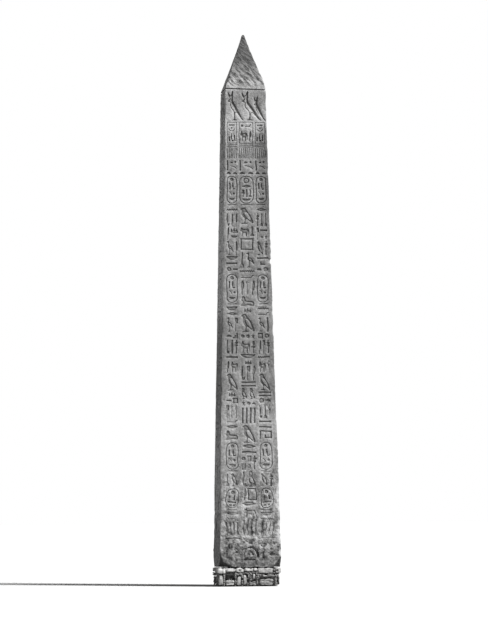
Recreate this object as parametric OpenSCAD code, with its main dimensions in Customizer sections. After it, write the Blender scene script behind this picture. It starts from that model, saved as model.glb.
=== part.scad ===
// A carved granite obelisk, one block from foot to tip, standing on a low footing of packed stones.
// The frame has its origin at ground level under the middle of the obelisk, +Z up, with the front face towards -Y.
// Sides are numbered 0 front, 1 right, 2 back, 3 left. Corner 0 is front left, then 1, 2 and 3 the same way round.

/* [Monolith] */
// Height from the foot to the worn tip
monolith_h = 21200; // [16000:100:26000]
// Width of each side at the foot
foot_w = 2450; // [2100:10:3000]
// Width of each side under the pyramidion
neck_w = 1610; // [1400:10:1900]
// Height of the pyramidion
pyramidion_h = 2280; // [1500:10:3500]
// Width of the worn tip
tip_w = 60; // [20:5:150]
// How far the right side of the pyramidion bulges past a straight slope
bulge = 60; // [0:5:120]

/* [Carving] */
// Depth of the incised lines
carve_d = 40; // [10:1:60]
// Width of the incised lines
line_w = 32; // [16:1:60]
// Width of the strokes of the marks
mark_w = 58; // [30:1:80]
// Gap between one row of marks and the next
mark_gap = 40; // [20:1:80]
// Width of the middle column of carving
middle_col_w = 610; // [400:10:700]
// Gap between the middle and side columns at the neck
neck_gap = 50; // [30:5:80]
// Gap between the middle and side columns at the foot
foot_gap = 145; // [60:5:200]
// Bare margin at the arris, at the neck
neck_margin = 50; // [40:5:90]
// Bare margin at the arris, at the foot
foot_margin = 240; // [80:10:280]
// Height of the base line of the carving above the foot
base_line_z = 1170; // [900:10:1400]

/* [Footing] */
// Height of the footing, from the ground to the foot of the monolith
footing_h = 740; // [500:10:1000]
// Depth of the bearing stones, into the footing
bearing_depth = 270; // [200:5:400]
// Depth of the packing stones below them, into the footing
packing_depth = 180; // [120:5:190]
// Height of the ledge that carries the bearing stones, as a share of the footing
ledge = 0.65; // [0.5:0.01:0.7]
// How far the roughest stone stands proud of the foot
proud = 50; // [0:5:80]
// Depth of the open pocket at the left of the front, behind the packing stones
pocket_depth = 250; // [100:10:400]

/* [Hidden] */
shaft_h = monolith_h - pyramidion_h;
batter = atan((foot_w - neck_w) / 2 / shaft_h);
reach = 3 * foot_w;
over = 60;
neck_line_z = shaft_h - 40;
// Heights up the shaft: foot and sill of the niches, top of the name frames, foot of the large birds
niche_z = shaft_h * 0.8526;
sill_z = shaft_h * 0.8843;
frame_z = shaft_h * 0.93;
bird_z = shaft_h * 0.9335;

// Large birds over the frames: left and right as shares of half the neck, then top under the neck line
top_birds = [[-0.92, -0.1, 80], [-0.25, 0.78, 70], [0.37, 0.99, 250]];

// Rows of marks: name, height as a share of the column's width, then each mark with its box as shares of the row
rows = [
  ["bird", 0.9, [["bird", 0, 0, 0.64, 1], ["upright", 0.72, 0, 0.28, 1]]],
  ["big_bird", 1.05, [["bird", 0, 0, 1, 1]]],
  ["two_birds", 0.66, [["bird", 0, 0, 0.46, 1], ["bird", 0.54, 0, 0.46, 1]]],
  ["talls", 0.84, [["upright", 0, 0, 0.2, 1], ["reed", 0.3, 0, 0.3, 1], ["upright", 0.7, 0, 0.3, 1]]],
  ["reeds", 0.9, [["reed", 0, 0, 0.4, 1], ["reed", 0.56, 0, 0.4, 1]]],
  ["tall_side", 0.8, [["upright", 0, 0, 0.3, 1], ["level", 0.4, 0, 0.6, 0.4], ["disc", 0.5, 0.5, 0.4, 0.5]]],
  ["flats", 0.6, [["level", 0, 0, 1, 0.44], ["level", 0, 0.56, 1, 0.44]]],
  ["flat", 0.3, [["bowl", 0, 0, 1, 1]]],
  ["smalls", 0.36, [["disc", 0, 0, 0.44, 1], ["mound", 0.56, 0, 0.44, 1]]],
  ["block", 0.72, [["box", 0, 0, 0.64, 1], ["upright", 0.72, 0, 0.28, 1]]],
  ["beast", 0.6, [["beast", 0, 0, 1, 1]]]
];
// Runs of rows in the side columns and the middle column: bottom and top as shares of the shaft, then the rows
side_runs = [
  [0.613, 0.751, ["flat", "talls", "tall_side", "bird", "flats", "smalls"]],
  [0.2625, 0.5435, ["flats", "bird", "smalls", "talls", "flat", "block", "big_bird", "flat", "smalls", "talls",
                    "flats", "beast"]],
  [0.167, 0.1955, ["bird"]],
  [0.0655, 0.116, ["flats", "reeds"]]
];
middle_runs = [
  [0.714, 0.751, ["big_bird"]],
  [0.688, 0.711, ["block"]],
  [0.0655, 0.657, ["bird", "flats", "talls", "beast", "flat", "big_bird", "smalls", "block", "flats", "talls",
                   "flat", "two_birds", "smalls", "reeds", "big_bird", "flats", "tall_side", "bird", "block",
                   "flat", "beast", "reeds"]]
];

// Bearing stones of the front: start and end as shares of the foot's width, and underside as a share of the footing
front_bearing = [
  [-0.54, -0.392, 0.65], [-0.384, -0.23, 0.74], [-0.224, -0.1, 0.72],
  [-0.094, 0.055, 0.77], [0.061, 0.112, 0.76], [0.119, 0.375, 0.65]
];
// Packing stones of the front: start and end, then underside and top as shares of the footing
front_packing = [
  [-0.515, -0.425, 0, 0.65], [-0.415, -0.235, 0, 0.38], [-0.225, -0.135, 0, 0.6],
  [-0.122, -0.045, 0, 0.7], [-0.036, 0.112, 0, 0.3], [-0.036, -0.002, 0.3, 0.72],
  [0.03, 0.092, 0.3, 0.72], [0.122, 0.4, 0, 0.44], [0.17, 0.42, 0.45, 0.62]
];
// Stones in each row of the other three sides
side_bearing_count = 5;
side_packing_count = 3;
side_names = ["front", "right", "back", "left"];

// Broken lower corners: corner, height up the arris, then length along each edge of the foot
breaks = [
  [0, 740, 230, 260], [0, 295, 645, 560],
  [1, 405, 300, 345], [2, 560, 420, 300], [2, 210, 640, 520],
  [3, 480, 300, 360], [3, 230, 470, 620]
];
// Chips on the arrises: corner, height above the foot, length and depth
chips = [
  [0, 2300, 3000, 40], [0, 6900, 420, 35], [0, 12900, 300, 25], [0, 17100, 240, 25],
  [1, 1750, 2300, 55], [1, 900, 420, 95], [1, 9330, 420, 40], [1, 12130, 260, 80],
  [1, 15600, 320, 30], [2, 1500, 1900, 50], [2, 5200, 500, 60], [2, 10400, 340, 45],
  [2, 16300, 360, 40], [3, 1900, 2400, 50], [3, 9040, 220, 45], [3, 13900, 380, 35],
  [3, 18850, 150, 55]
];

function half_w(z) = foot_w / 2 - z * tan(batter);
function lane(neck, foot, z) = foot + (neck - foot) * z / shaft_h;
function inner_line(z) = middle_col_w / 2 + lane(neck_gap, foot_gap, z);
function outer_line(z) = lane(neck_w / 2 - neck_margin, foot_w / 2 - foot_margin, z);
function column_mid(column, z) = column * (inner_line(z) + outer_line(z)) / 2;
function column_w(column, z) = column == 0 ? middle_col_w : outer_line(z) - inner_line(z);
function columns_w(z) = 2 * outer_line(z);
function on_slope(z) = z / cos(batter);
// Nearest size that halves to whole millimetres, so that arcs and straights meet exactly
function whole(size) = 2 * round(size / 2);
function row_height(kind) = rows[search([kind], rows)[0]][1];
function row_marks(kind) = rows[search([kind], rows)[0]][2];
function total_height(kinds, count) =
  count == 0 ? 0 : row_height(kinds[count - 1]) + total_height(kinds, count - 1);

function bearing_name(side, i) = str(side_names[side], "_bearing_stone_", i + 1);
function packing_name(side, i) = str(side_names[side], "_packing_stone_", i + 1);
function bearing_count(side) = side == 0 ? len(front_bearing) : side_bearing_count;
function packing_count(side) = side == 0 ? len(front_packing) : side_packing_count;

// A row of stones along a side that isn't shown: each takes an uneven share of the length
function joint_at(count, i, seed) =
  i == 0 || i == count ? i / count : (i + rands(-0.2, 0.2, count, seed)[i]) / count;
function bearing_row(side) = side == 0 ? front_bearing : [
  for (i = [0:side_bearing_count - 1])
    let (end = 0.5 - bearing_depth / foot_w, span = end + 0.51)
    [joint_at(side_bearing_count, i, side) * span - 0.51,
     joint_at(side_bearing_count, i + 1, side) * span - 0.518,
     ledge + rands(0, 0.09, side_bearing_count, side + 10)[i]]
];
function packing_row(side) = side == 0 ? front_packing : [
  for (i = [0:side_packing_count - 1])
    let (end = 0.5 - packing_depth / foot_w, span = end + 0.5)
    [joint_at(side_packing_count, i, side + 20) * span - 0.5,
     joint_at(side_packing_count, i + 1, side + 20) * span - 0.52,
     0, ledge - rands(0, 0.12, side_packing_count, side + 30)[i]]
];

// Outline of the monolith seen from the front or the side, above its foot
module monolith_outline(right_bulge) {
  knee = pyramidion_h * 0.2;
  top_of_knee = pyramidion_h * 0.31;
  slope = (neck_w - tip_w) / 2 / pyramidion_h;
  polygon([
    [-foot_w / 2, 0], [foot_w / 2, 0], [neck_w / 2, shaft_h],
    [neck_w / 2 - knee * slope + right_bulge, shaft_h + knee],
    [neck_w / 2 - top_of_knee * slope + right_bulge / 2, shaft_h + top_of_knee],
    [tip_w / 2, monolith_h], [-tip_w / 2, monolith_h], [-neck_w / 2, shaft_h]
  ]);
}

module monolith_body() {
  intersection() {
    rotate([90, 0, 0])
      linear_extrude(foot_w + over, center = true)
        monolith_outline(bulge);
    rotate([90, 0, 90])
      linear_extrude(foot_w + over, center = true)
        monolith_outline(0);
  }
}

// Everything on the corner's side of a sloping plane, which meets the arris and both edges of the foot
module corner_break(corner, up, along_a, along_b) {
  normal = [1 / along_a, 1 / along_b, 1 / up];
  size = 2 * foot_w / 3;
  rotate([0, 0, 90 * corner])
    translate([-foot_w / 2, -foot_w / 2, up])
      rotate([0, acos(normal.z / norm(normal)), atan2(normal.y, normal.x)])
        translate([-size / 2, -size / 2, -size])
          cube(size);
}

// A scallop across an arris, cut by a drum that lies level
module arris_chip(corner, z, length, depth) {
  drum_r = (length * length / 4 + depth * depth) / (2 * depth);
  rotate([0, 0, 225 + 90 * corner])
    translate([half_w(z) * sqrt(2) + drum_r - depth, 0, z])
      rotate([90, 0, 0])
        cylinder(r = drum_r, h = foot_w / 4, center = true, $fn = 96);
}

// Places a flat drawing on a battered face: x across the face, y up its slope from the foot
module on_face(side) {
  rotate([0, 0, 90 * side])
    translate([0, -foot_w / 2, 0])
      rotate([90 - batter, 0, 0])
        translate([0, 0, -carve_d])
          linear_extrude(carve_d + over)
            children();
}

module rounded_box(w, h, r) {
  square([w - 2 * r, h], center = true);
  square([w, h - 2 * r], center = true);
  for (x = [-1, 1], y = [-1, 1])
    translate([x * (w / 2 - r), y * (h / 2 - r)])
      circle(r, $fn = 32);
}

module oval_ring(column, bottom, top) {
  middle = (bottom + top) / 2;
  w = whole(column_w(column, middle) - 2.4 * line_w);
  h = whole(top - bottom);
  r = round(w * 0.4);
  translate([column_mid(column, middle), on_slope(middle)])
    difference() {
      rounded_box(w, h, r);
      rounded_box(w - 2 * line_w, h - 2 * line_w, r - line_w);
    }
}

module frame_ring(column, bottom, top, w) {
  middle = (bottom + top) / 2;
  translate([column_mid(column, middle), on_slope(middle)])
    difference() {
      square([w, top - bottom], center = true);
      square([w - 2 * line_w, top - bottom - 2 * line_w], center = true);
    }
}

// The marks, each in a box from its lower left corner
module mark(kind, w, h) {
  line = min(mark_w, w, h);
  if (kind == "upright")
    translate([(w - line) / 2, 0])
      square([line, h]);
  if (kind == "level")
    translate([0, (h - line) / 2])
      square([w, line]);
  if (kind == "box")
    difference() {
      square([w, h]);
      translate([line, line])
        square([max(w - 2 * line, 1), max(h - 2 * line, 1)]);
    }
  if (kind == "disc")
    translate([w / 2, h / 2])
      circle(min(w, h) / 2, $fn = 24);
  if (kind == "mound")
    polygon([for (a = [0:45:180]) [w / 2 * (1 + cos(a)), h * sin(a)]]);
  if (kind == "bowl")
    polygon([for (a = [180:45:360]) [w / 2 * (1 + cos(a)), h * (1 + sin(a))]]);
  if (kind == "reed")
    polygon([[w * 0.3, 0], [w * 0.66, 0], [w, h * 0.5], [w * 0.8, h], [w * 0.3, h * 0.9]]);
  if (kind == "bird")
    polygon([
      [0, h * 0.86], [w * 0.2, h], [w * 0.46, h * 0.9], [w, h * 0.1], [w * 0.86, 0],
      [w * 0.46, h * 0.3], [w * 0.5, 0], [w * 0.24, 0], [w * 0.12, h * 0.6]
    ]);
  if (kind == "beast")
    polygon([
      [0, h * 0.6], [w * 0.2, h * 0.5], [w * 0.2, 0], [w * 0.34, h * 0.34], [w * 0.64, h * 0.34],
      [w * 0.8, 0], [w, h * 0.62], [w * 0.34, h * 0.8], [w * 0.16, h]
    ]);
}

// A run of rows down a column, stretched to fill its height
module mark_run(column, bottom, top, kinds) {
  scale_up = (on_slope(top - bottom) - mark_gap * len(kinds)) / total_height(kinds, len(kinds));
  for (i = [0:len(kinds) - 1]) {
    h = row_height(kinds[i]) * scale_up;
    y = on_slope(top) - total_height(kinds, i + 1) * scale_up - mark_gap * (i + 0.5);
    w = column_w(column, y) - line_w;
    translate([column_mid(column, y) - w / 2, y])
      for (m = row_marks(kinds[i]))
        translate([m[1] * w, m[2] * h])
          mark(m[0], m[3] * w, m[4] * h);
  }
}

// A name ring with a tie bar under it, and a disc, two uprights and a bowl inside it
module name_oval(column, bottom, top) {
  middle = (bottom + top) / 2;
  w = column_w(column, middle) - 2.4 * line_w;
  inner = w - 4 * line_w;
  tie = 1.5 * line_w;
  h = top - bottom - 2 * tie;
  oval_ring(column, bottom + tie, top);
  translate([column_mid(column, middle), on_slope(bottom)]) {
    square([w * 0.8, line_w], center = true);
    translate([-inner * 0.3, h * 0.74])
      mark("disc", inner * 0.6, h * 0.2);
    for (x = [-0.38, 0.12])
      translate([inner * x, h * 0.42])
        mark("upright", inner * 0.26, h * 0.26);
    translate([-inner * 0.4, h * 0.2])
      mark("bowl", inner * 0.8, h * 0.12);
  }
}

// A name frame over two level lines and a band of narrow niches, at the head of each column
module palace_front(column) {
  w = column_w(column, sill_z) - 2.4 * line_w;
  niches = column == 0 ? 6 : 4;
  pitch = (w - line_w) / niches;
  lintel = 2.2 * line_w;
  frame_ring(column, sill_z, frame_z, w);
  translate([column_mid(column, sill_z) - w / 2, 0]) {
    for (i = [1, 2])
      translate([0, on_slope(sill_z) - i * lintel])
        square([w, line_w]);
    for (i = [0:niches])
      translate([i * pitch, on_slope(niche_z)])
        square([line_w, on_slope(sill_z - niche_z) - 3 * lintel]);
    for (i = [0, 1])
      translate([w * (0.16 + 0.4 * i), on_slope(sill_z) + 3 * line_w])
        mark("upright", w * 0.28, (frame_z - sill_z) * 0.36);
    translate([w * 0.16, on_slope(sill_z) + (frame_z - sill_z) * 0.6])
      mark("bowl", w * 0.68, (frame_z - sill_z) * 0.16);
    translate([w * 0.16, on_slope(sill_z) + (frame_z - sill_z) * 0.8])
      mark("level", w * 0.68, mark_w);
  }
}

// A tall bird with a head-dress: its back falls straight to the tail
module crowned_bird(w, h) {
  polygon([
    [w * 0.34, h], [w * 0.36, h * 0.68], [w, 0], [w * 0.72, h * 0.14], [w * 0.3, h * 0.36],
    [w * 0.17, h * 0.54], [w * 0.19, h * 0.61], [w * 0.04, h * 0.64], [w * 0.16, h * 0.72],
    [w * 0.04, h * 0.94], [w * 0.2, h * 0.86]
  ]);
}

// Uprights and mounds between the niches and the top ovals
module head_group(column, bottom, top) {
  w = column_w(column, bottom) - line_w;
  h = on_slope(top - bottom);
  translate([column_mid(column, bottom) - w / 2, on_slope(bottom)]) {
    for (x = [0, 0.58])
      translate([x * w, 0])
        mark("mound", 0.42 * w, 0.18 * h);
    for (x = [0.34, 0.66])
      translate([x * w, 0.74 * h])
        mark("mound", 0.28 * w, 0.22 * h);
    translate([0, 0.3 * h])
      mark("upright", 0.16 * w, 0.66 * h);
  }
}

// The nested arch below the base line of the front
module front_arch() {
  foot_z = base_line_z * 0.35;
  outer = base_line_z * 0.21;
  inner = outer * 0.5;
  translate([line_w, on_slope(foot_z)]) {
    scale([1, 1.7])
      difference() {
        intersection() {
          circle(outer, $fn = 32);
          translate([-2 * outer, 0])
            square([4 * outer, 2 * outer]);
        }
        circle(outer - 1.5 * line_w, $fn = 32);
      }
    translate([-inner, 0])
      mark("mound", 2 * inner, 1.6 * inner);
    translate([-outer, -2.5 * line_w])
      square([2 * outer, line_w]);
  }
}

module face_carving() {
  for (b = top_birds)
    translate([neck_w / 2 * b[0], on_slope(bird_z)])
      crowned_bird(neck_w / 2 * (b[1] - b[0]), neck_line_z - bird_z - b[2]);
  for (column = [-1, 0, 1]) {
    palace_front(column);
    head_group(column, shaft_h * 0.8195, shaft_h * 0.85);
    name_oval(column, shaft_h * 0.7549, shaft_h * 0.8165);
    for (run = column == 0 ? middle_runs : side_runs)
      mark_run(column, shaft_h * run[0], shaft_h * run[1], run[2]);
  }
  for (column = [-1, 1]) {
    name_oval(column, shaft_h * 0.547, shaft_h * 0.6097);
    name_oval(column, shaft_h * 0.199, shaft_h * 0.2592);
    name_oval(column, shaft_h * 0.1197, shaft_h * 0.1639);
  }
  frame_ring(0, shaft_h * 0.66, shaft_h * 0.685, middle_col_w * 0.86);
  translate([0, on_slope(base_line_z)])
    square([columns_w(base_line_z) + line_w, line_w], center = true);
  translate([0, on_slope(neck_line_z)])
    square([2 * half_w(neck_line_z) + over, line_w], center = true);
}

module obelisk_monolith() {
  color([0.56, 0.53, 0.5])
    translate([0, 0, footing_h])
      difference() {
        monolith_body();
        for (b = breaks)
          corner_break(b[0], b[1], b[2], b[3]);
        for (c = chips)
          arris_chip(c[0], c[1], c[2], c[3]);
        for (side = [0:3])
          on_face(side)
            face_carving();
        on_face(0)
          front_arch();
      }
}

// The packed rubble under the monolith, with a ledge all round that carries the bearing stones
module footing_core() {
  color([0.5, 0.48, 0.44])
    difference() {
      union() {
        translate([0, 0, footing_h * ledge / 2])
          cube([foot_w - 2 * packing_depth, foot_w - 2 * packing_depth, footing_h * ledge], center = true);
        translate([0, 0, footing_h / 2])
          cube([foot_w - 2 * bearing_depth, foot_w - 2 * bearing_depth, footing_h], center = true);
      }
      translate([foot_w * front_packing[1][0], -foot_w / 2, footing_h * front_packing[1][3]])
        cube([foot_w * (front_packing[1][1] - front_packing[1][0]), packing_depth + pocket_depth,
              footing_h * (ledge - front_packing[1][3] - 0.03)]);
    }
}

// One roughly squared stone: cut corners in elevation and in plan, flat where it meets the core
module rough_stone(side, from, to, low, high, depth, seed) {
  length = foot_w * (to - from);
  height = footing_h * (high - low);
  cut = min(length, height) * 0.3;
  e = rands(cut * 0.25, cut, 8, seed);
  out = rands(0, proud, 2, seed + 100);
  c = rands(cut * 0.3, cut, 4, seed + 200);
  rotate([0, 0, 90 * side])
    translate([foot_w * from, -foot_w / 2, footing_h * low])
      intersection() {
        translate([0, depth, 0])
          rotate([90, 0, 0])
            linear_extrude(depth + proud)
              polygon([
                [e[0], 0], [length - e[1], 0], [length, e[2]], [length, height - e[3]],
                [length - e[4], height], [e[5], height], [0, height - e[6]], [0, e[7]]
              ]);
        linear_extrude(height)
          polygon([
            [c[0], -out[0]], [length - c[1], -out[1]], [length, c[2] - out[1]],
            [length, depth], [0, depth], [0, c[3] - out[0]]
          ]);
      }
}

module bearing_stone(side, i) {
  s = bearing_row(side)[i];
  color([0.8, 0.78, 0.72])
    rough_stone(side, s[0], s[1], s[2], 1, bearing_depth, 7 * side + i);
}

module packing_stone(side, i) {
  s = packing_row(side)[i];
  color([0.7, 0.68, 0.63])
    rough_stone(side, s[0], s[1], s[2], s[3], packing_depth, 50 + 11 * side + i);
}

obelisk_monolith();
footing_core();
for (side = [0:3], i = [0:bearing_count(side) - 1])
  bearing_stone(side, i);
for (side = [0:3], i = [0:packing_count(side) - 1])
  packing_stone(side, i);
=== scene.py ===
import math

import bmesh
import bpy
import numpy as np
from bpy.props import FloatProperty, PointerProperty
from mathutils import Matrix, Vector, geometry, kdtree


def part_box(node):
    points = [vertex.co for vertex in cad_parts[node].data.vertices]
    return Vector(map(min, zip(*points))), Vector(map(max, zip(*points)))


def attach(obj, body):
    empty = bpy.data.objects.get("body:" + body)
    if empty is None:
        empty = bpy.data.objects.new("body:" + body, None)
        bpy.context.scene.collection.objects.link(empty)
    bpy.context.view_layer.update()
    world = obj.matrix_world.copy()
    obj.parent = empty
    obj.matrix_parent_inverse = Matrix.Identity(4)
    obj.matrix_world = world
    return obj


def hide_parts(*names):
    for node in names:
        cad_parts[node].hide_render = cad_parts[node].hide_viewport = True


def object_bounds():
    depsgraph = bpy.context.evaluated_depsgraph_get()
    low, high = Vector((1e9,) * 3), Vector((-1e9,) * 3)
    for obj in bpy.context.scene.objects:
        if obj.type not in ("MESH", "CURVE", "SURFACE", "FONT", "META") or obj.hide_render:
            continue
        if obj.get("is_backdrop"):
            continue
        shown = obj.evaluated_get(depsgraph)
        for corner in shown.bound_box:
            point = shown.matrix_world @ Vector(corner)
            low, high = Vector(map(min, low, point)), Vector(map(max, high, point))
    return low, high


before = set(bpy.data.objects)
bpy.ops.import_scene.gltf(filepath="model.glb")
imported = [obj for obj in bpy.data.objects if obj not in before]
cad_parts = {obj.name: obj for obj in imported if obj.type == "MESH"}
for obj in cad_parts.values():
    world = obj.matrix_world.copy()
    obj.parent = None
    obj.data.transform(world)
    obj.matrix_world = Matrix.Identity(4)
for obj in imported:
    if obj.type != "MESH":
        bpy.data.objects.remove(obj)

bl_info = {
    "name": "Carved obelisk on a rubble footing",
    "version": (1, 0, 0),
    "blender": (4, 5, 0),
    "location": "3D View > Sidebar > Obelisk",
    "description": "Dresses a packed obelisk with its carving, weathering and rough footing stones",
    "category": "Add Mesh",
}

SIZES = {"cad": [list(c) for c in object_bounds()]}

# Sizes of the monolith, in metres, the same as those of the CAD part. Heights on it count from its foot.
# Sides are numbered 0 front, 1 right, 2 back and 3 left. Corner 0 is the front left one.
MONO_LOW, MONO_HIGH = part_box("obelisk_monolith")
FOOT_Z = MONO_LOW.z
FOOT_W = MONO_HIGH.y - MONO_LOW.y
TOP_H = MONO_HIGH.z - FOOT_Z
NECK_W = 1.61
PYRAMIDION_H = 2.28
SHAFT_H = TOP_H - PYRAMIDION_H
TIP_W = 0.06
BULGE = 0.06
LEAN = (FOOT_W - NECK_W) / 2 / SHAFT_H
# The level groove under the pyramidion, and where it begins and ends
NECK_LINE = SHAFT_H - 0.036
GROOVE = (NECK_LINE - 0.031, NECK_LINE + 0.031)
# The carving: its base line, the middle column, and the gaps and margins beside the side columns
BASE_LINE = 1.17
LINE_W = 0.032
MIDDLE_W = 0.61
NECK_GAP, FOOT_GAP = 0.05, 0.145
NECK_MARGIN, FOOT_MARGIN = 0.05, 0.24
EDGE = 0.012
ROW_GAP = 0.04
MARK_W = 0.066

# Broken lower corners: corner, height up the arris, then length along each edge of the foot
BREAKS = (
    (0, 0.74, 0.23, 0.26), (0, 0.295, 0.645, 0.56), (1, 0.405, 0.3, 0.345), (2, 0.56, 0.42, 0.3),
    (2, 0.21, 0.64, 0.52), (3, 0.48, 0.3, 0.36), (3, 0.23, 0.47, 0.62),
)
# Chips on the arrises: corner, height above the foot, length and depth
CHIPS = (
    (0, 2.3, 3.0, 0.04), (0, 6.9, 0.42, 0.035), (0, 12.9, 0.3, 0.025), (0, 17.1, 0.24, 0.025),
    (1, 2.6, 0.5, 0.02), (1, 1.40, 0.26, 0.045), (1, 9.33, 0.42, 0.04), (1, 12.05, 0.20, 0.10),
    (1, 15.6, 0.32, 0.03), (2, 1.5, 1.9, 0.05), (2, 5.2, 0.5, 0.06), (2, 10.4, 0.34, 0.045),
    (2, 16.3, 0.36, 0.04), (3, 1.9, 2.4, 0.05), (3, 9.04, 0.22, 0.045), (3, 13.9, 0.38, 0.035),
    (3, 18.80, 0.10, 0.05), (1, 19.62, 0.12, 0.05),
)


# Node trees

def math_node(operation, turned=False):
    """A method that adds a Math node for a value and the terms after it, or before it if turned."""
    def add(self, *others):
        terms = (self, *others)[::-1] if turned else (self, *others)
        return self.tree.node("ShaderNodeMath", {"operation": operation}, dict(enumerate(terms)))
    return add


class Value:
    """One output of a node. Sums written with it add Math nodes to its tree."""

    __add__ = __radd__ = math_node("ADD")
    __mul__ = __rmul__ = math_node("MULTIPLY")
    __sub__, __rsub__ = math_node("SUBTRACT"), math_node("SUBTRACT", True)
    __truediv__, __rtruediv__ = math_node("DIVIDE"), math_node("DIVIDE", True)
    __pow__, __abs__ = math_node("POWER"), math_node("ABSOLUTE")
    most, sine = math_node("MAXIMUM"), math_node("SINE")

    def __init__(self, tree, socket):
        self.tree = tree
        self.socket = socket

    def __neg__(self):
        return self * -1.0

    def smooth(self, low, high, start=0.0, end=1.0):
        """Runs smoothly from start at low to end at high."""
        return self.tree.node(
            "ShaderNodeMapRange", {"interpolation_type": "SMOOTHSTEP", "clamp": True},
            {"Value": self, "From Min": low, "From Max": high, "To Min": start, "To Max": end})

    def part(self, axis):
        return self.tree.node("ShaderNodeSeparateXYZ", None, {0: self}, "XYZ".index(axis))

    def output(self, name):
        """Another output of the same node."""
        return Value(self.tree, self.socket.node.outputs[name])


def set_stops(elements, stops):
    """Sets the places and the colours of a ramp."""
    while len(elements) < len(stops):
        elements.new(1.0)
    for element, (position, colour) in zip(elements, stops):
        element.position = position
        element.color = colour


class Tree:
    """Adds nodes to a material's tree or to a Geometry Nodes group."""

    def __init__(self, tree):
        self.tree = tree

    def node(self, kind, settings=None, inputs=None, output=0):
        """One node of a kind. Its settings come first, then the values or links of its sockets."""
        made = self.tree.nodes.new(kind)
        for name, value in (settings or {}).items():
            if name == "stops":
                set_stops(made.color_ramp.elements, value)
            else:
                setattr(made.color_ramp if name == "interpolation" else made, name, value)
        for name, value in (inputs or {}).items():
            if isinstance(value, Value):
                self.tree.links.new(value.socket, made.inputs[name])
            else:
                made.inputs[name].default_value = value
        return Value(self, made.outputs[output]) if made.outputs else None

    def noise(self, vector, scale, detail=2.0, roughness=0.5):
        return self.node("ShaderNodeTexNoise", {"noise_dimensions": "3D"},
                         {"Vector": vector, "Scale": scale, "Detail": detail, "Roughness": roughness})

    def cells(self, vector, scale, feature="F1"):
        return self.node("ShaderNodeTexVoronoi", {"feature": feature}, {"Vector": vector, "Scale": scale})

    def vector(self, operation, *terms, output=0, **named):
        """A sum on vectors."""
        inputs = dict(enumerate(terms)) | named
        return self.node("ShaderNodeVectorMath", {"operation": operation}, inputs, output)

    def combine(self, x, y, z):
        return self.node("ShaderNodeCombineXYZ", None, {0: x, 1: y, 2: z})

    # For materials

    def mapped(self, vector, **how):
        """A vector that is scaled, then turned and shifted."""
        return self.node("ShaderNodeMapping", {"vector_type": "POINT"}, {"Vector": vector, **how})

    def attribute(self, name, output=2):
        return self.node("ShaderNodeAttribute", {"attribute_name": name}, None, output)

    def ramp(self, share, stops, interpolation="LINEAR"):
        """A run of colours, each at its place."""
        settings = {"stops": stops, "interpolation": interpolation}
        return self.node("ShaderNodeValToRGB", settings, {"Fac": share})

    # For Geometry Nodes

    def place(self):
        return self.node("GeometryNodeInputPosition")

    def moved(self, shape, **how):
        return self.node("GeometryNodeSetPosition", None, {"Geometry": shape, **how})

    def noted(self, shape, name, value):
        """The shape with a value written on its points."""
        return self.node("GeometryNodeStoreNamedAttribute", {"data_type": "FLOAT", "domain": "POINT"},
                         {"Geometry": shape, "Name": name, "Value": value})

    def smoothed(self, shape):
        return self.node("GeometryNodeSetShadeSmooth", None, {"Geometry": shape})

    def above_ground(self, shape):
        """Lifts points that would lie below the ground to just above it."""
        place = self.place()
        lifted = self.combine(place.part("X"), place.part("Y"), place.part("Z").most(0.002))
        return self.moved(shape, Position=lifted)


# Outlines of the carved motifs

def ellipse(cx, cy, rx, ry, start=0.0, end=360.0, count=14):
    """Points on an ellipse, anticlockwise. A full turn leaves out its last point."""
    steps = count if abs(end - start) >= 360.0 else count - 1
    angles = [math.radians(start + (end - start) * i / steps) for i in range(count)]
    return [(cx + rx * math.cos(angle), cy + ry * math.sin(angle)) for angle in angles]


def rounded(points, pieces=2):
    """A smooth closed curve through the points."""
    smooth = []
    count = len(points)
    for i in range(count):
        p0, p1, p2, p3 = (np.array(points[(i + k) % count], float) for k in (-1, 0, 1, 2))
        for t in (k / pieces for k in range(pieces)):
            smooth.append(tuple(0.5 * (2 * p1 + (p2 - p0) * t + (2 * p0 - 5 * p1 + 4 * p2 - p3) * t * t
                                       + (3 * p1 - p0 - 3 * p2 + p3) * t ** 3)))
    return smooth


def band(points, width):
    """The outline of a stroke of one width along open points."""
    points = [np.array(p, float) for p in points]
    left, right = [], []
    for i, p in enumerate(points):
        before = points[i] - points[i - 1] if i > 0 else points[1] - points[0]
        after = points[i + 1] - points[i] if i + 1 < len(points) else before
        before, after = before / np.linalg.norm(before), after / np.linalg.norm(after)
        along = before + after
        along = along / max(np.linalg.norm(along), 1e-6)
        out = np.array((-along[1], along[0]))
        # A sharp bend isn't drawn out to its full corner
        reach = width / 2 / max(0.6, float(out @ np.array((-before[1], before[0]))))
        left.append(tuple(p + out * reach))
        right.append(tuple(p - out * reach))
    return right + left[::-1]


def fitted(points, x, y, w, h):
    return [(x + px * w, y + py * h) for px, py in points]


def rectangle(x, y, w, h):
    return [(x, y), (x + w, y), (x + w, y + h), (x, y + h)]


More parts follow.
